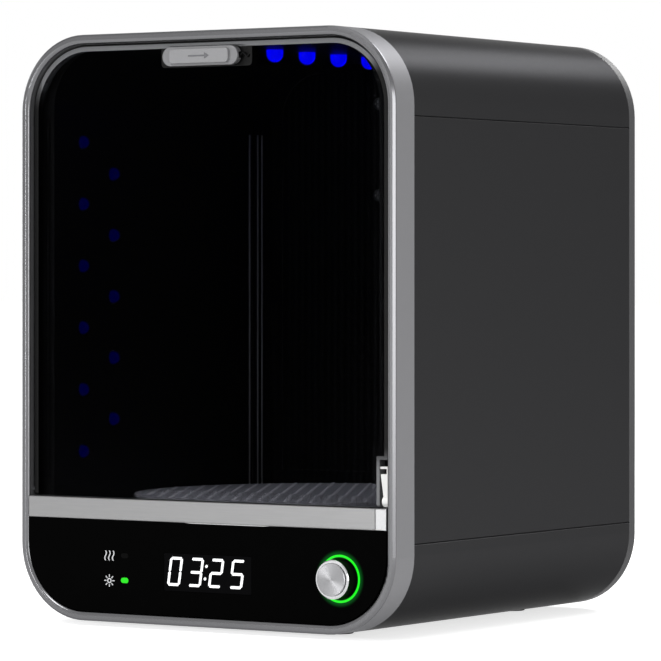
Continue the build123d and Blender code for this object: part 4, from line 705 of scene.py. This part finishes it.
def join(pieces: Sequence[Piece]) -> Piece:
    """Joins pieces into the first of them.

    Args:
        pieces: the pieces.

    Returns:
        The joined piece.
    """
    clear_selection()
    for piece in pieces:
        piece.select_set(True)
    bpy.context.view_layer.objects.active = pieces[0]
    bpy.ops.object.join()
    return pieces[0]


def stamp(piece: Piece, places: Sequence[Matrix]) -> Piece:
    """Copies a piece to several places, each copy with its own mesh, and joins them.

    Args:
        piece: the model of one, at the origin. It becomes part of the result.
        places: where each goes.

    Returns:
        The joined piece.
    """
    copies = [piece]
    for _ in places[1:]:
        copy = piece.copy()
        copy.data = piece.data.copy()
        bpy.context.scene.collection.objects.link(copy)
        copies.append(copy)
    for copy, place in zip(copies, places):
        copy.data.transform(place)
    return join(copies)


def bevelled(piece: Piece, width_mm: float) -> None:
    """Rounds a piece's sharp edges with a modifier that is applied.

    Args:
        piece: the piece.
        width_mm: width of the rounding.
    """
    take(piece)
    edge = piece.modifiers.new("eased_edges", "BEVEL")
    edge.width = width_mm * MM
    edge.segments = EASE_SEGMENTS
    edge.limit_method = "ANGLE"
    edge.angle_limit = EASE_ANGLE
    bpy.ops.object.modifier_apply(modifier=edge.name)


def settle(piece: Piece, name: str, finish: Finish, body: str) -> Piece:
    """Finishes a piece: applies its place, smooths it, dresses it and lets it ride on its body.

    Args:
        piece: the modelled piece.
        name: what the piece is called.
        finish: its finish.
        body: the body that it moves with.

    Returns:
        The piece.
    """
    take(piece)
    bpy.ops.object.transform_apply(location=True, rotation=True, scale=True)
    bpy.ops.object.mode_set(mode="EDIT")
    bpy.ops.mesh.select_all(action="SELECT")
    bpy.ops.mesh.remove_doubles(threshold=WELD_DISTANCE)
    bpy.ops.mesh.normals_make_consistent(inside=False)
    bpy.ops.object.mode_set(mode="OBJECT")
    bpy.ops.object.shade_smooth_by_angle(angle=SMOOTH_ANGLE)
    piece.name = name
    piece.data.name = name
    piece.data.materials.clear()
    piece.data.materials.append(finish.build())
    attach(piece, body)
    LOG.info("piece %s on %s, %d faces", name, body, len(piece.data.polygons))
    return piece


def lens(radius_mm: float, straight_mm: float, sides: int, rings: int) -> Piece:
    """Models a lamp lens standing on the XY plane: a straight barrel closed by a dome.

    Args:
        radius_mm: radius of the barrel and of the dome.
        straight_mm: length of the barrel.
        sides: sides of the barrel.
        rings: rings in the dome.

    Returns:
        The lens, with its foot at the origin and its dome towards +Z.
    """
    radius = radius_mm * MM
    bpy.ops.mesh.primitive_cylinder_add(
        vertices=sides, radius=radius, depth=straight_mm * MM, location=(0, 0, straight_mm * MM / 2)
    )
    piece = bpy.context.object
    take(piece)
    bpy.ops.object.transform_apply(location=True, rotation=False, scale=False)
    # the last ring stays half a step short of the pole
    angles = [math.pi / 2 * ring / (rings + 0.5) for ring in range(rings + 1)]
    moves = []
    for low, high in zip(angles, angles[1:]):
        ratio = math.cos(high) / math.cos(low)
        rise = radius * (math.sin(high) - math.sin(low))
        moves.append(Step((0.0, 0.0, rise), (ratio, ratio, 1.0)))
    raise_faces(piece, UP, moves)
    return piece


def polygon(sides: int, radius_mm: float, turn: float = 0.0) -> Piece:
    """Models a flat polygon in the XZ plane, round the origin.

    Args:
        sides: how many sides it has.
        radius_mm: distance from its middle to its corners.
        turn: its angle about Y, in radians.

    Returns:
        The polygon.
    """
    bpy.ops.mesh.primitive_circle_add(
        vertices=sides, radius=radius_mm * MM, fill_type="NGON", rotation=(math.pi / 2, turn, 0)
    )
    piece = bpy.context.object
    take(piece)
    bpy.ops.object.transform_apply(location=False, rotation=True, scale=False)
    return piece


def bar(length_mm: float, width_mm: float, depth_mm: float) -> Piece:
    """Models a flat bar with pointed ends, such as one stroke of a digit, lying along X and facing -Y.

    Args:
        length_mm: distance between its points.
        width_mm: its width.
        depth_mm: how far it stands out towards -Y.

    Returns:
        The bar, centred on the origin with its back on the XZ plane.
    """
    sides = 8
    piece = polygon(sides, width_mm / 2 / math.cos(math.pi / sides), math.pi / sides)
    stretch = (length_mm / 2 - width_mm / 2) * MM
    for vertex in piece.data.vertices:
        vertex.co.x += math.copysign(stretch, vertex.co.x)
    thicken(piece, -depth_mm)
    return piece


def disc(radius_mm: float, depth_mm: float, sides: int, inner_mm: float = 0.0) -> Piece:
    """Models a flat disc or ring facing -Y, centred on the origin with its back on the XZ plane.

    Args:
        radius_mm: outer radius.
        depth_mm: how far it stands out towards -Y.
        sides: sides of its outline.
        inner_mm: inner radius of a ring, or zero.

    Returns:
        The disc or ring.
    """
    piece = polygon(sides, radius_mm)
    if inner_mm:
        bpy.ops.object.mode_set(mode="EDIT")
        bpy.ops.mesh.select_all(action="SELECT")
        bpy.ops.mesh.inset(thickness=(radius_mm - inner_mm) * MM, depth=0.0)
        bpy.ops.mesh.delete(type="FACE")
    thicken(piece, -depth_mm)
    return piece


def at(x_mm: float, y_mm: float, z_mm: float) -> Matrix:
    """Place of a piece, given in millimetres."""
    return Matrix.Translation(Vector((x_mm, y_mm, z_mm)) * MM)


def dress(nodes: CadNodes, finish: Finish, *names: str) -> None:
    """Gives CAD nodes their finish.

    Args:
        nodes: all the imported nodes.
        finish: the finish.
        names: the nodes that it goes on.
    """
    for name in names:
        node = nodes[name]
        node.data.materials.clear()
        node.data.materials.append(finish.build())
        LOG.info("dressed %s in %s", name, finish.name)


@dataclass(frozen=True)
class CrossScrew:
    """Pan-head screw whose head faces -Y, with a cross recess."""

    shank_length: float
    shank_radius: float = 1.5
    head_radius: float = 3.0
    head_depth: float = 1.6
    head_sides: int = 24
    head_ease: float = 0.35
    tip: float = 0.6
    cross_length: float = 3.4
    cross_width: float = 0.7
    cross_depth: float = 0.9

    def build(self) -> Piece:
        """Models the screw.

        Returns:
            The screw, with its head's underside on the XZ plane.
        """
        screw = disc(self.head_radius, self.head_depth, self.head_sides)
        bpy.ops.object.mode_set(mode="EDIT")
        pick_facing(screw, (0.0, 1.0, 0.0))
        shrink = self.shank_radius / self.head_radius
        bpy.ops.mesh.inset(thickness=(self.head_radius - self.shank_radius) * MM, depth=0.0)
        point = Step((0.0, self.shank_radius * shrink * MM, 0.0), (self.tip, 1.0, self.tip))
        grow([Step((0.0, self.shank_length * MM, 0.0)), point])
        bpy.ops.object.mode_set(mode="OBJECT")
        bevelled(screw, self.head_ease)
        for turn in (0.0, math.pi / 2):
            self.cut_recess(screw, turn)
        return screw

    def cut_recess(self, screw: Piece, turn: float) -> None:
        """Cuts one slot of the cross into the head.

        Args:
            screw: the screw.
            turn: the slot's angle about Y, in radians.
        """
        spot = (0, -self.head_depth * MM, 0)
        bpy.ops.mesh.primitive_cube_add(size=1.0, location=spot, rotation=(0, turn, 0))
        cutter = bpy.context.object
        cutter.scale = Vector((self.cross_length, 2 * self.cross_depth, self.cross_width)) * MM
        take(screw)
        recess = screw.modifiers.new("cross_recess", "BOOLEAN")
        recess.operation = "DIFFERENCE"
        recess.object = cutter
        bpy.ops.object.modifier_apply(modifier=recess.name)
        bpy.data.objects.remove(cutter)


# ---------------------------------------------------------------- sub-assemblies
@dataclass
class CaseShell:
    """Top, bottom, side and rear covers, with their screws and feet."""

    screw_x: float = 89.51
    screw_z: Span = (17.99, 262.01)
    screw_y: float = 112.7
    shank_length: float = 12.0

    def build(self, nodes: CadNodes) -> None:
        """Dresses the covers and models the screws.

        Args:
            nodes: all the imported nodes.
        """
        dress(nodes, CASE_COAT, "top_cover", "bottom_cover", "left_side_panel", "right_side_panel")
        dress(nodes, REAR_PLASTIC, "rear_cover")
        dress(nodes, RUBBER, "rubber_feet")
        self.rear_screws()

    def rear_screws(self) -> None:
        """Cross-head screws that hold the rear cover."""
        places = [
            at(x, self.screw_y, z) @ Matrix.Rotation(math.pi, 4, "Z")
            for x in (-self.screw_x, self.screw_x)
            for z in self.screw_z
        ]
        screw = CrossScrew(self.shank_length).build()
        piece = settle(stamp(screw, places), "rear_screw_heads", STEEL, "housing")
        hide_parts("rear_cover_screws")


@dataclass
class BezelFront:
    """Bezel ring, the bar under the door and the bulkhead behind them."""

    lip_low_x: float = -11.6
    lip_high_x: float = 38.6
    lip_drop: float = 0.9
    lip_swell: float = 0.7
    lip_overlap: float = 0.2
    lip_segments: int = 16
    lip_y: float = -106.9
    lip_depth: float = 1.0
    bar_bottom_z: float = 50.3

    def build(self, nodes: CadNodes) -> None:
        """Dresses the bezel and models the finger lip under the bar.

        Args:
            nodes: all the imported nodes.
        """
        dress(nodes, RING_COAT_AND_LIP_SHADE, "front_ring")
        dress(nodes, DARK_PLASTIC, "front_chassis")
        dress(nodes, FASCIA_PLASTIC, "front_fascia")
        dress(nodes, BAR_SILVER, "crossbar")
        dress(nodes, BAR_CAP, "hinge_end_cap")
        self.finger_lip()

    def finger_lip(self) -> None:
        """Shallow silver lip that swells from the bar's lower edge."""
        length = self.lip_high_x - self.lip_low_x
        top = self.bar_bottom_z + self.lip_overlap
        bpy.ops.mesh.primitive_grid_add(x_subdivisions=self.lip_segments, y_subdivisions=1, size=1.0)
        lip = bpy.context.object
        for vertex in lip.data.vertices:
            share = vertex.co.x + 0.5
            swells = vertex.co.y < 0 and 0 < share < 1
            drop = self.lip_drop * math.sin(math.pi * share) ** self.lip_swell if swells else 0.0
            vertex.co = Vector((self.lip_low_x + share * length, self.lip_y, top - drop)) * MM
        take(lip)
        bpy.ops.object.mode_set(mode="EDIT")
        bpy.ops.mesh.select_all(action="SELECT")
        bpy.ops.mesh.dissolve_degenerate(threshold=WELD_DISTANCE)
        thicken(lip, self.lip_depth)
        settle(lip, "bar_finger_lip", BAR_CAP, "housing")


class Stroke(Enum):
    """The seven strokes of a digit: centre across, centre up, upright or not."""

    TOP = (0.0, 1.0, False)
    UPPER_LEFT = (-0.5, 0.5, True)
    UPPER_RIGHT = (0.5, 0.5, True)
    MIDDLE = (0.0, 0.0, False)
    LOWER_LEFT = (-0.5, -0.5, True)
    LOWER_RIGHT = (0.5, -0.5, True)
    BOTTOM = (0.0, -1.0, False)


DIGITS: dict[str, tuple[Stroke, ...]] = {
    "0": tuple(stroke for stroke in Stroke if stroke is not Stroke.MIDDLE),
    "2": (Stroke.TOP, Stroke.UPPER_RIGHT, Stroke.MIDDLE, Stroke.LOWER_LEFT, Stroke.BOTTOM),
    "3": (Stroke.TOP, Stroke.UPPER_RIGHT, Stroke.MIDDLE, Stroke.LOWER_RIGHT, Stroke.BOTTOM),
    "5": (Stroke.TOP, Stroke.UPPER_LEFT, Stroke.MIDDLE, Stroke.LOWER_RIGHT, Stroke.BOTTOM),
}


@dataclass
class ControlPanel:
    """Black panel with its display, its two indicators and the plain pictograms beside them."""

    shown: str = "0325"
    digit_x: tuple[float, ...] = (-15.5, -3.7, 7.65, 19.4)
    digit_z: float = 27.7
    digit_width: float = 6.0
    digit_height: float = 12.2
    stroke: float = 1.25
    stroke_gap: float = 0.25
    slant: float = 0.15
    colon_x: float = 1.8
    colon_z: Span = (24.9, 30.7)
    colon_radius: float = 0.7
    colon_sides: int = 12
    front_y: float = -107.0
    print_depth: float = 0.12
    icon_x: float = -53.2
    icon_size: float = 4.6
    dryer_icon_z: float = 33.6
    wave_width: float = 0.6
    wave_sway: float = 0.45
    wave_pitch: float = 2.2
    wave_segments: int = 14
    lamp_icon_z: float = 21.9
    sun_outer: float = 1.25
    sun_inner: float = 0.7
    sun_sides: int = 24
    ray_length: float = 1.3
    ray_width: float = 0.5
    rays: int = 8

    def build(self, nodes: CadNodes) -> None:
        """Dresses the panel and models the digits and pictograms.

        Args:
            nodes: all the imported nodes.
        """
        dress(nodes, PANEL_GLOSS_AND_GLOW, "control_panel")
        dress(nodes, WINDOW_GLOSS, "display_window")
        dress(nodes, DARK_PLASTIC, "display_module")
        dress(nodes, DOT_LIGHT, "indicator_light_pipes")
        dress(nodes, RING_LIGHT, "knob_light_ring")
        dress(nodes, BOARD_GREEN, "control_board")
        self.digits()
        self.dryer_icon()
        self.lamp_icon()

    def digits(self) -> None:
        """Lit strokes of the time left, and the two dots between the pairs."""
        lean = Matrix.Identity(4)
        lean[0][2] = self.slant
        places = []
        for digit, middle in zip(self.shown, self.digit_x):
            for stroke in DIGITS[digit]:
                across, up, upright = stroke.value
                spot = at(across * self.digit_width, 0.0, up * self.digit_height / 2)
                turn = Matrix.Rotation(math.pi / 2, 4, "Y") if upright else Matrix.Identity(4)
                places.append(at(middle, self.front_y, self.digit_z) @ lean @ spot @ turn)
        length = self.digit_height / 2 - self.stroke_gap
        strokes = stamp(bar(length, self.stroke, self.print_depth), places)
        colon = at(self.colon_x, self.front_y, self.digit_z) @ lean
        places = [colon @ at(0, 0, z - self.digit_z) for z in self.colon_z]
        dots = stamp(disc(self.colon_radius, self.print_depth, self.colon_sides), places)
        settle(join([strokes, dots]), "display_digits", DIGIT_LIGHT, "housing")

    def dryer_icon(self) -> None:
        """Three rising waves, for warm air."""
        bpy.ops.mesh.primitive_grid_add(x_subdivisions=1, y_subdivisions=self.wave_segments, size=1.0)
        wave = bpy.context.object
        for vertex in wave.data.vertices:
            sway = self.wave_sway * math.sin(vertex.co.y * math.tau)
            vertex.co = Vector((vertex.co.x * self.wave_width + sway, 0.0, vertex.co.y * self.icon_size)) * MM
        thicken(wave, -self.print_depth)
        middle = at(self.icon_x, self.front_y, self.dryer_icon_z)
        places = [middle @ at(step * self.wave_pitch, 0.0, 0.0) for step in (-1, 0, 1)]
        settle(stamp(wave, places), "warm_air_pictogram", ICON_PRINT_AND_GLOW, "housing")

    def lamp_icon(self) -> None:
        """A small sun, for the curing lamps."""
        centre = at(self.icon_x, self.front_y, self.lamp_icon_z)
        ring = disc(self.sun_outer, self.print_depth, self.sun_sides, self.sun_inner)
        ring.data.transform(centre)
        places = [
            centre @ Matrix.Rotation(math.tau / self.rays * turn, 4, "Y") @ at(self.icon_size / 2, 0.0, 0.0)
            for turn in range(self.rays)
        ]
        rays = stamp(bar(self.ray_length, self.ray_width, self.print_depth), places)
        settle(join([ring, rays]), "lamp_pictogram", ICON_PRINT_AND_GLOW, "housing")


@dataclass
class PushKnob:
    """Push-and-turn knob on its encoder."""

    stem_radius: float = 6.6
    stem_length: float = 1.2
    head_radius: float = 7.5
    head_bevel: float = 0.25
    sides: int = 96

    def build(self, nodes: CadNodes) -> None:
        """Dresses the knob and its encoder, and models the knob's wide face.

        Args:
            nodes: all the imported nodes.
        """
        dress(nodes, KNOB_RIM, "knob_rim")
        dress(nodes, KNOB_SIDE, "knob_skirt")
        dress(nodes, STEEL, "knob_shaft")
        dress(nodes, ACETAL, "encoder_rotor")
        dress(nodes, DARK_PLASTIC, "encoder_body")
        self.face()

    def face(self) -> None:
        """Turned face whose wide head almost touches the rim, on a stem that seats inside it."""
        low, high = (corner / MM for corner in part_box("knob_cap"))
        middle = (low + high) / 2
        bpy.ops.mesh.primitive_cylinder_add(
            vertices=self.sides, radius=self.stem_radius * MM, depth=self.stem_length * MM
        )
        cap = bpy.context.object
        head = high.y - low.y - self.stem_length
        flare = self.head_radius / self.stem_radius
        nip = 1.0 - self.head_bevel / self.head_radius
        steps = [
            Step(ORIGIN, (flare, flare, 1.0)),
            Step((0.0, 0.0, (head - self.head_bevel) * MM)),
            Step((0.0, 0.0, self.head_bevel * MM), (nip, nip, 1.0)),
        ]
        raise_faces(cap, UP, steps)
        cap.rotation_euler = (math.pi / 2, 0.0, 0.0)
        cap.location = Vector((middle.x, high.y - self.stem_length / 2, middle.z)) * MM
        settle(cap, "knob_face", KNOB_FACE, "knob")
        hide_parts("knob_cap")


@dataclass
class CuringChamber:
    """Dark chamber with its lamps, trims and the screws of the warm-air outlet."""

    ceiling_radius: float = 4.0
    ceiling_count: int = 6
    ceiling_facets: int = 24
    ceiling_rings: int = 5
    side_radius: float = 3.0
    side_rows: int = 6
    side_facets: int = 16
    side_rings: int = 4
    screw_x: float = 26.0
    screw_z: Span = (204.5, 250.5)
    screw_y: float = 84.5
    shank_length: float = 7.5
    # place along Y of each bead, and how far its seat stands proud of the wall
    beads: tuple[Span, ...] = ((64.3, 0.0), (69.8, 1.2), (73.6, 1.2))
    bead_width: float = 1.1
    bead_proud: float = 0.4
    bead_ease: float = 0.15
    bead_drop: float = 8.0

    def build(self, nodes: CadNodes) -> None:
        """Dresses the chamber and models its lamps, beads and screws.

        Args:
            nodes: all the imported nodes.
        """
        dress(nodes, REFLECTOR, "left_light_wall", "right_light_wall", "ceiling_liner", "chamber_floor")
        dress(nodes, REFLECTOR, "corner_trims")
        dress(nodes, RIBBED_SHEET_AND_HIGHLIGHT, "back_reflector")
        dress(nodes, BOARD_GREEN, "left_led_board", "right_led_board", "ceiling_led_board")
        self.ceiling_lamps()
        self.side_lamps()
        self.painted_highlight_beads()
        self.outlet_screws()

    def ceiling_lamps(self) -> None:
        """Lit lenses in a row along the ceiling, domes downwards."""
        low, high = (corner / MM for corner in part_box("ceiling_leds"))
        down = Matrix.Rotation(math.pi, 4, "X")
        first_y = low.y + self.ceiling_radius
        pitch = (high.y - self.ceiling_radius - first_y) / (self.ceiling_count - 1)
        places = [at(0.0, first_y + i * pitch, high.z) @ down for i in range(self.ceiling_count)]
        straight = high.z - low.z - self.ceiling_radius
        lamps = stamp(lens(self.ceiling_radius, straight, self.ceiling_facets, self.ceiling_rings), places)
        settle(lamps, "ceiling_lamp_lenses", CEILING_LAMP, "housing")
        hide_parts("ceiling_leds")

    def side_lamps(self) -> None:
        """Dim lenses in two staggered columns on each side wall."""
        walls = ((-1, "left_lamp_lenses", "left_leds"), (1, "right_lamp_lenses", "right_leds"))
        for side, name, node in walls:
            low, high = (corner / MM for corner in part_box(node))
            lowest = low.z + self.side_radius
            pitch = (high.z - self.side_radius - lowest) / (self.side_rows - 1)
            columns = (low.y + self.side_radius, high.y - self.side_radius)
            sites = [
                (y, lowest + pitch * (row + 0.5 * column))
                for column, y in enumerate(columns)
                for row in range(self.side_rows - column)
            ]
            foot = low.x if side < 0 else high.x
            inwards = Matrix.Rotation(-side * math.pi / 2, 4, "Y")
            places = [at(foot, y, z) @ inwards for y, z in sites]
            straight = high.x - low.x - self.side_radius
            lamps = stamp(lens(self.side_radius, straight, self.side_facets, self.side_rings), places)
            settle(lamps, name, SIDE_LAMP, "housing")
            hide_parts(node)

    def painted_highlight_beads(self) -> None:
        """Slim beads down the rear ends of both side walls, beside and on their corner trims, painted pale as
        painted highlight lines.
        """
        low, high = (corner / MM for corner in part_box("corner_trims"))
        length = high.z - low.z - self.bead_drop
        size = Vector((self.bead_proud, self.bead_width, length)) * MM
        bpy.ops.mesh.primitive_cube_add(size=1.0, scale=size)
        bead = bpy.context.object
        take(bead)
        bpy.ops.object.transform_apply(location=False, rotation=False, scale=True)
        bevelled(bead, self.bead_ease)
        places = [
            at(side * (high.x - seat - self.bead_proud / 2), y, low.z + length / 2)
            for side in (-1, 1)
            for y, seat in self.beads
        ]
        settle(stamp(bead, places), "painted_highlight_beads", BEAD_HIGHLIGHT_PAINT, "housing")

    def outlet_screws(self) -> None:
        """Cross-head screws beside the warm-air outlet, heads towards the chamber."""
        places = [at(x, self.screw_y, z) for x in (-self.screw_x, self.screw_x) for z in self.screw_z]
        screw = CrossScrew(self.shank_length).build()
        piece = settle(stamp(screw, places), "outlet_screw_heads", STEEL, "housing")
        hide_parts("dryer_screws")


@dataclass
class WorksInside:
    """Dryer, power board, inlet and damper behind the chamber and the covers."""

    def build(self, nodes: CadNodes) -> None:
        """Dresses the parts that show through slots or with the door open.

        Args:
            nodes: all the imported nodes.
        """
        dress(nodes, DARK_PLASTIC, "dryer_duct", "fan_frame", "dc_inlet", "damper_body")
        dress(nodes, STEEL, "heater_core")
        dress(nodes, REAR_PLASTIC, "fan_rotor")
        dress(nodes, BOARD_GREEN, "power_board")
        dress(nodes, ACETAL, "damper_gear")


@dataclass
class Turntable:
    """Turntable plate with its raised pips, its hub and motor."""

    pip_radius: float = 0.95
    pip_height: float = 0.45
    pip_crown: float = 0.6
    pip_sides: int = 8
    pitch: float = 7.2
    edge: float = 3.0

    def build(self, nodes: CadNodes) -> None:
        """Dresses the turntable and models its pips.

        Args:
            nodes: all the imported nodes.
        """
        dress(nodes, DISC_METAL, "turntable_disc")
        dress(nodes, ACETAL, "turntable_hub")
        dress(nodes, STEEL, "turntable_motor", "motor_screws")
        self.pips()

    def pips(self) -> None:
        """Low round pips in staggered rows that keep models off the plate."""
        half = self.pip_height / 2
        bpy.ops.mesh.primitive_cylinder_add(
            vertices=self.pip_sides, radius=self.pip_radius * MM, depth=half * MM
        )
        pip = bpy.context.object
        raise_faces(pip, UP, [Step((0.0, 0.0, half * MM), (self.pip_crown, self.pip_crown, 1.0))])
        low, high = (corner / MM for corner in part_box("turntable_disc"))
        radius = (high.x - low.x) / 2
        middle = (low + high) / 2
        row_gap = self.pitch * math.sqrt(3) / 2
        rows = int(radius / row_gap)
        reach = radius - self.edge
        places = []
        for row in range(-rows, rows + 1):
            for column in range(-rows - 1, rows + 2):
                x = (column + 0.5 * (row % 2)) * self.pitch
                y = row * row_gap
                if math.hypot(x, y) < reach:
                    places.append(at(x, middle.y + y, high.z + half / 2))
        # The pips' near-white colour is a painted highlight.
        settle(stamp(pip, places), "turntable_pips", PIP_HIGHLIGHT_PAINT, "turntable")


@dataclass
class Door:
    """Smoked flip-down door with its frame, rails, seals and toothed hinge arm."""

    def build(self, nodes: CadNodes) -> None:
        """Dresses the door.

        Args:
            nodes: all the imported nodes.
        """
        dress(nodes, FRAME_PAINT_AND_SHADE, "door_frame")
        dress(nodes, DOOR_PANE, "door_glass")
        dress(nodes, RAIL_CLEAR, "door_rails")
        dress(nodes, RUBBER, "door_seals")
        dress(nodes, ACETAL, "hinge_sector_arm")
        dress(nodes, STEEL, "hinge_pins")


@dataclass
class Latch:
    """Sliding catch at the top of the door."""

    shaft_length: float = 9.0
    shaft_width: float = 0.7
    shaft_shift: float = 1.0
    head_radius: float = 1.7
    depth: float = 0.15
    travel: float = 6.0
    folds: int = 8
    strip: float = 0.45

    def build(self, nodes: CadNodes) -> None:
        """Dresses the catch and models its spring and the arrow on its grip.

        Args:
            nodes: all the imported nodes.
        """
        dress(nodes, CATCH_PAINT, "latch_slider")
        dress(nodes, GRIP_PAINT, "latch_grip")
        dress(nodes, STEEL, "latch_strike")
        dress(nodes, DARK_PLASTIC, "door_switch")
        self.spring()
        self.arrow()

    def spring(self) -> None:
        """Return spring, folded to and fro."""
        low, high = (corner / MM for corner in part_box("latch_spring"))
        size = high - low
        bpy.ops.mesh.primitive_cube_add(
            size=1.0,
            location=Vector((low.x + self.strip / 2, (low.y + high.y) / 2, high.z - self.strip / 2)) * MM,
            scale=Vector((self.strip, size.y, self.strip)) * MM,
        )
        spring = bpy.context.object
        take(spring)
        bpy.ops.object.transform_apply(location=True, rotation=True, scale=True)
        step = (size.x - self.strip) / self.folds * MM
        rise = (size.z - self.strip) * MM
        folds = [Step((step, 0.0, rise if fold % 2 else -rise)) for fold in range(self.folds)]
        raise_faces(spring, (1.0, 0.0, 0.0), folds)
        settle(spring, "catch_spring", SPRING_STEEL, "door")
        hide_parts("latch_spring")
        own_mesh(spring)

    def arrow(self) -> None:
        """Printed arrow that shows which way the catch slides."""
        low, high = (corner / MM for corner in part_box("latch_grip"))
        middle = (low + high) / 2
        shaft = bar(self.shaft_length, self.shaft_width, self.depth)
        shaft.data.transform(at(middle.x - self.shaft_shift, low.y, middle.z))
        head = polygon(3, self.head_radius, math.pi / 2)
        thicken(head, -self.depth)
        head.data.transform(at(middle.x + self.shaft_length / 2, low.y, middle.z))
        settle(join([shaft, head]), "catch_arrow", ARROW_PAINT, "latch")


# ---------------------------------------------------------------- studio
@dataclass(frozen=True)
class SoftBox:
    """One rectangular studio lamp aimed at the cabinet, in metres."""

    name: str
    place: Point
    target: Point
    width: float
    height: float
    radiance: float

    def build(self) -> None:
        """Adds the lamp, hidden from the camera itself."""
        lamp = bpy.data.lights.new(self.name, "AREA")
        lamp.shape = "RECTANGLE"
        lamp.size = self.width
        lamp.size_y = self.height
        lamp.energy = self.radiance * math.pi * self.width * self.height
        stand = bpy.data.objects.new(self.name, lamp)
        bpy.context.scene.collection.objects.link(stand)
        stand.location = self.place
        aim = Vector(self.target) - Vector(self.place)
        stand.rotation_euler = aim.to_track_quat("-Z", "Y").to_euler()
        stand.visible_camera = False
        LOG.info("lamp %s, %.1f W", self.name, lamp.energy)


@dataclass
class Studio:
    """Pale floor, white surroundings, soft lamps and the camera, in metres."""

    floor_size: float = 30.0
    floor_tone: str = "#e6e6e6"
    floor_lift: float = 0.72
    ambient: float = 0.45
    camera_place: Point = (1.0951, -1.6624, 0.16776)
    camera_turn: float = 33.374
    lens_mm: float = 224.93
    sensor_mm: float = 36.0
    rise: float = -0.0938
    far: float = 100.0
    lamps: tuple[SoftBox, ...] = (
        SoftBox("overhead", (0.1, -0.1, 1.7), (0.0, 0.0, 0.15), 1.4, 1.4, 0.7),
        SoftBox("front_top_box", (-0.25, -1.3, 1.35), (0.0, -0.05, 0.06), 0.6, 0.6, 11.0),
        SoftBox("rear_top_strip", (0.25, 1.5, 1.25), (0.0, 0.0, 0.27), 0.8, 0.3, 20.0),
        SoftBox("left_rear_box", (-1.6, 1.0, 0.35), (-0.1, -0.1, 0.15), 0.35, 0.9, 3.0),
        SoftBox("front_strip", (-0.76, -2.0, 0.12), (-0.1, -0.1, 0.14), 0.12, 0.46, 24.0),
        SoftBox("left_strip", (-1.9, -0.72, 0.2), (0.1, -0.1, 0.14), 0.16, 1.0, 4.0),
        SoftBox("right_front_box", (1.7, -1.12, 0.22), (0.1, -0.1, 0.12), 0.5, 1.0, 6.2),
    )

    def build(self) -> None:
        """Sets up the floor, the surroundings, the lamps and the camera."""
        bpy.context.scene.view_settings.view_transform = "Standard"
        self.floor()
        self.surroundings()
        for lamp in self.lamps:
            lamp.build()
        self.camera()

    def background_ray(self, tree: NodeTree) -> Socket:
        """Adds the nodes that tell rays that see the background from rays that light the scene.

        Args:
            tree: the node tree they go into.

        Returns:
            The socket that is one for rays from the camera, off gloss or through glass.
        """
        ray = add_node(tree, "ShaderNodeLightPath")
        seen = ray.outputs["Is Camera Ray"]
        for kind in ("Is Glossy Ray", "Is Transmission Ray"):
            either = {0: seen, 1: ray.outputs[kind]}
            seen = add_node(tree, "ShaderNodeMath", {"operation": "MAXIMUM"}, either).outputs[0]
        return seen

    def floor(self) -> None:
        """Pale floor that shows white and keeps the cabinet's shadow."""
        clear_selection()
        bpy.ops.mesh.primitive_plane_add(size=self.floor_size)
        floor = bpy.context.object
        floor.name = "studio_floor"
        material = bpy.data.materials.new("pale_studio_floor")
        material.use_nodes = True
        tree = material.node_tree
        tree.nodes.clear()
        seen = self.background_ray(tree)
        lift = add_node(tree, "ShaderNodeMath", {"operation": "MULTIPLY", 1: self.floor_lift}, {0: seen})
        matt = add_node(tree, "ShaderNodeBsdfDiffuse", {"Color": linear(self.floor_tone)})
        glow = add_node(tree, "ShaderNodeEmission", {"Color": WHITE}, {"Strength": lift.outputs[0]})
        both = {0: matt.outputs["BSDF"], 1: glow.outputs["Emission"]}
        surface = add_node(tree, "ShaderNodeAddShader", links=both).outputs["Shader"]
        add_node(tree, "ShaderNodeOutputMaterial", links={"Surface": surface})
        floor.data.materials.append(material)

    def surroundings(self) -> None:
        """White all round where it is seen, and a plain soft level where it lights."""
        world = bpy.data.worlds.new("white_studio")
        bpy.context.scene.world = world
        world.use_nodes = True
        tree = world.node_tree
        tree.nodes.clear()
        seen = self.background_ray(tree)
        level = add_node(tree, "ShaderNodeMapRange", {3: self.ambient, 4: 1.0}, {0: seen})
        sky = add_node(tree, "ShaderNodeBackground", {"Color": WHITE}, {"Strength": level.outputs[0]})
        add_node(tree, "ShaderNodeOutputWorld", links={"Surface": sky.outputs["Background"]})

    def camera(self) -> None:
        """Level long-lens camera in front of the cabinet's right-hand edge."""
        view = bpy.data.cameras.new("camera")
        view.lens = self.lens_mm
        view.sensor_width = self.sensor_mm
        view.shift_y = self.rise
        view.clip_end = self.far
        stand = bpy.data.objects.new("camera", view)
        bpy.context.scene.collection.objects.link(stand)
        stand.location = self.camera_place
        stand.rotation_euler = (math.pi / 2, 0.0, math.radians(self.camera_turn))
        bpy.context.scene.camera = stand


def main() -> None:
    """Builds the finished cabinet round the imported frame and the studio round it."""
    logging.basicConfig(level=logging.INFO, format="%(message)s")
    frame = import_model()
    nodes = frame["nodes"]
    clear_selection()
    assemblies = (
        CaseShell(), BezelFront(), ControlPanel(), PushKnob(), CuringChamber(), WorksInside(), Turntable(),
        Door(), Latch(),
    )
    for assembly in assemblies:
        assembly.build(nodes)
    Studio().build()


if __name__ == "__main__":
    main()
